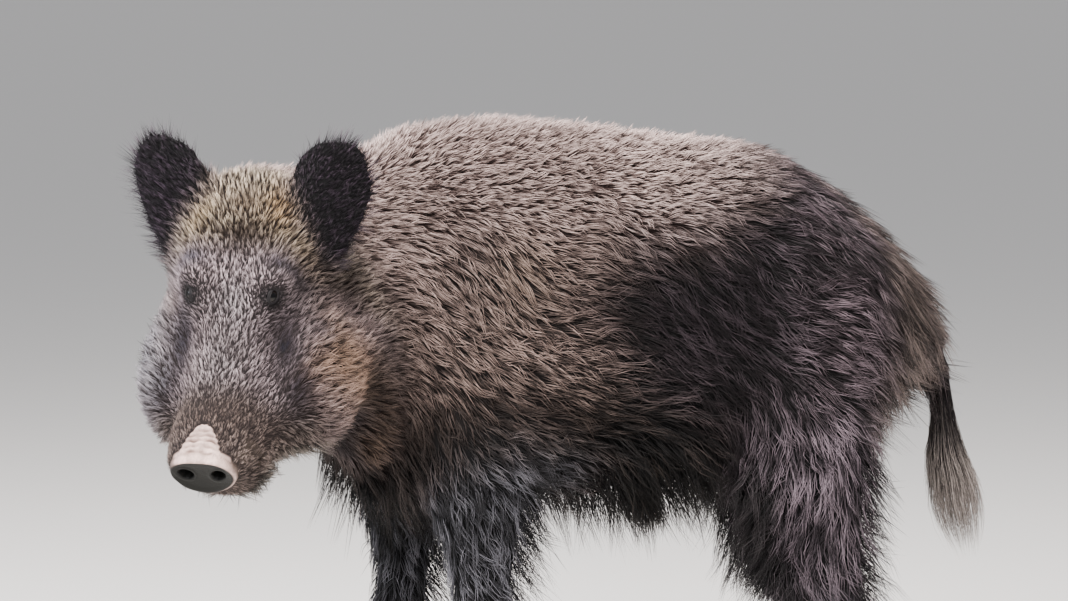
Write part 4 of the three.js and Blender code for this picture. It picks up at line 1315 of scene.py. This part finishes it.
def add_lids(side_name, side, skin, material):
    """A pair of smooth lids round one eye, with a fold behind their thick edge."""
    faces = [tuple(face.vertices) for face in skin.data.polygons]
    tree = BVHTree.FromPolygons(points_of(skin.data).tolist(), faces)
    centre = eye_centre(side_name)
    along, across, look = eye_axes(side)
    turn = np.linspace(0, 2 * np.pi, LID_TURNS, endpoint=False)
    front, shades = [], []
    for index, (size, height, share) in enumerate(LID_RINGS):
        long, high = ring_sizes(size)
        x, y = long * np.cos(turn), high * np.sin(turn) * np.abs(np.sin(turn)) ** LID_CORNERS
        ball = np.sqrt(np.maximum((EYE_RADIUS + height) ** 2 - x**2 - y**2, 0))
        places = centre + x[:, None] * along + y[:, None] * across
        hits = [tree.ray_cast(Vector(p + look * LID_PROBE), Vector(-look)) for p in places]
        skin_height = np.array([LID_PROBE - hit[3] if hit[0] else h for hit, h in zip(hits, ball)])
        level = mix(ball, skin_height - LID_TUCK * share, share)
        cover = (EYE_RADIUS + EYE_COVER * share) ** 2 - x**2 - y**2
        level = np.where(share > 0, np.maximum(level, np.sqrt(np.maximum(cover, 0))), level)
        front.append(places + level[:, None] * look)
        shades.append(np.full(LID_TURNS, index / (len(LID_RINGS) - 1)))
    rings = np.array([*front, *[ring - look * LID_BACK for ring in front[::-1]]])
    here = np.arange(len(rings) * LID_TURNS).reshape(len(rings), LID_TURNS)
    beside = np.roll(here, -1, axis=1)
    faces = np.stack([here, beside, np.roll(beside, -1, axis=0), np.roll(here, -1, axis=0)], -1)
    # The right eye's axes mirror the left's, so its faces turn the other way.
    faces = faces.reshape(-1, 4)[:, [0, side, 2, -side]]
    mesh = mesh_of(f"lids_{side_name}", (rings.reshape(-1, 3).tolist(), faces.tolist()))
    shade = np.array([*shades, *shades[::-1]]).reshape(-1, 1)
    paint(mesh, mix(linear(LID_EDGE), linear(EYE_PATCH), shade), np.ones(len(shade)))
    mesh.shade_smooth()
    mesh.materials.append(material)
    lids = place_object(f"lids_{side_name}", mesh)
    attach(lids, "root")


HORN_VOXEL = {"hoof": 0.0022, "dewclaw": 0.0016}
HORN_WEAR = 8  # how far the edges are worn round
HORN_SOLE = 0.001  # height of the part that stays flat on the floor


def add_horn(node, material):
    """A claw or dewclaw with its edges worn round."""
    kind = node.split("_")[0]
    mesh = mesh_of(node, shape_of(node))
    mesh = with_modifier(mesh, "REMESH", mode="VOXEL", voxel_size=HORN_VOXEL[kind])
    points = points_of(mesh)
    floor = points[:, 2].min()
    worn = Net(mesh).smooth(points, HORN_WEAR)
    worn[:, 2] = np.where(points[:, 2] < floor + HORN_SOLE, points[:, 2], worn[:, 2])
    set_points(mesh, worn)
    mesh.shade_smooth()
    mesh.materials.append(material)
    horn = place_object(f"horn_{node}", mesh)
    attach(horn, "root")
    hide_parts(node)


# ---------------------------------------------------------------- the animal

def build():
    add_camera()
    add_floor()
    add_light()
    finder = region_finder()
    skin = make_skin(finder)
    unwrap(skin)
    coat = Coat(skin, finder)
    paint_skin(skin, coat)
    skin.data.materials.append(skin_material())
    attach(skin, "root")
    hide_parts(*FLESH)
    materials = {
        "body_coat": hair_material("body_coat", 0.50),
        "head_coat": hair_material("head_coat", 0.50),
        "leg_coat": hair_material("leg_coat", 0.45),
        "ear_coat": hair_material("ear_coat", 0.45),
    }
    roots = scatter(coat, corner_values(skin.data), coat_values(coat))
    grow_coat(roots, materials)
    brush_hair = hair_material("brush_hair", 0.45)
    for node in BRUSHES:
        grow_brush(node, roots, brush_hair)
    eye, horn = eye_material(), horn_material()
    for side_name, side in SIDES.items():
        add_eye(side_name, side, eye)
        add_lids(side_name, side, skin, skin.data.materials[0])
    for node in NODES:
        if node.startswith(tuple(HORN_VOXEL)):
            add_horn(node, horn)


build()
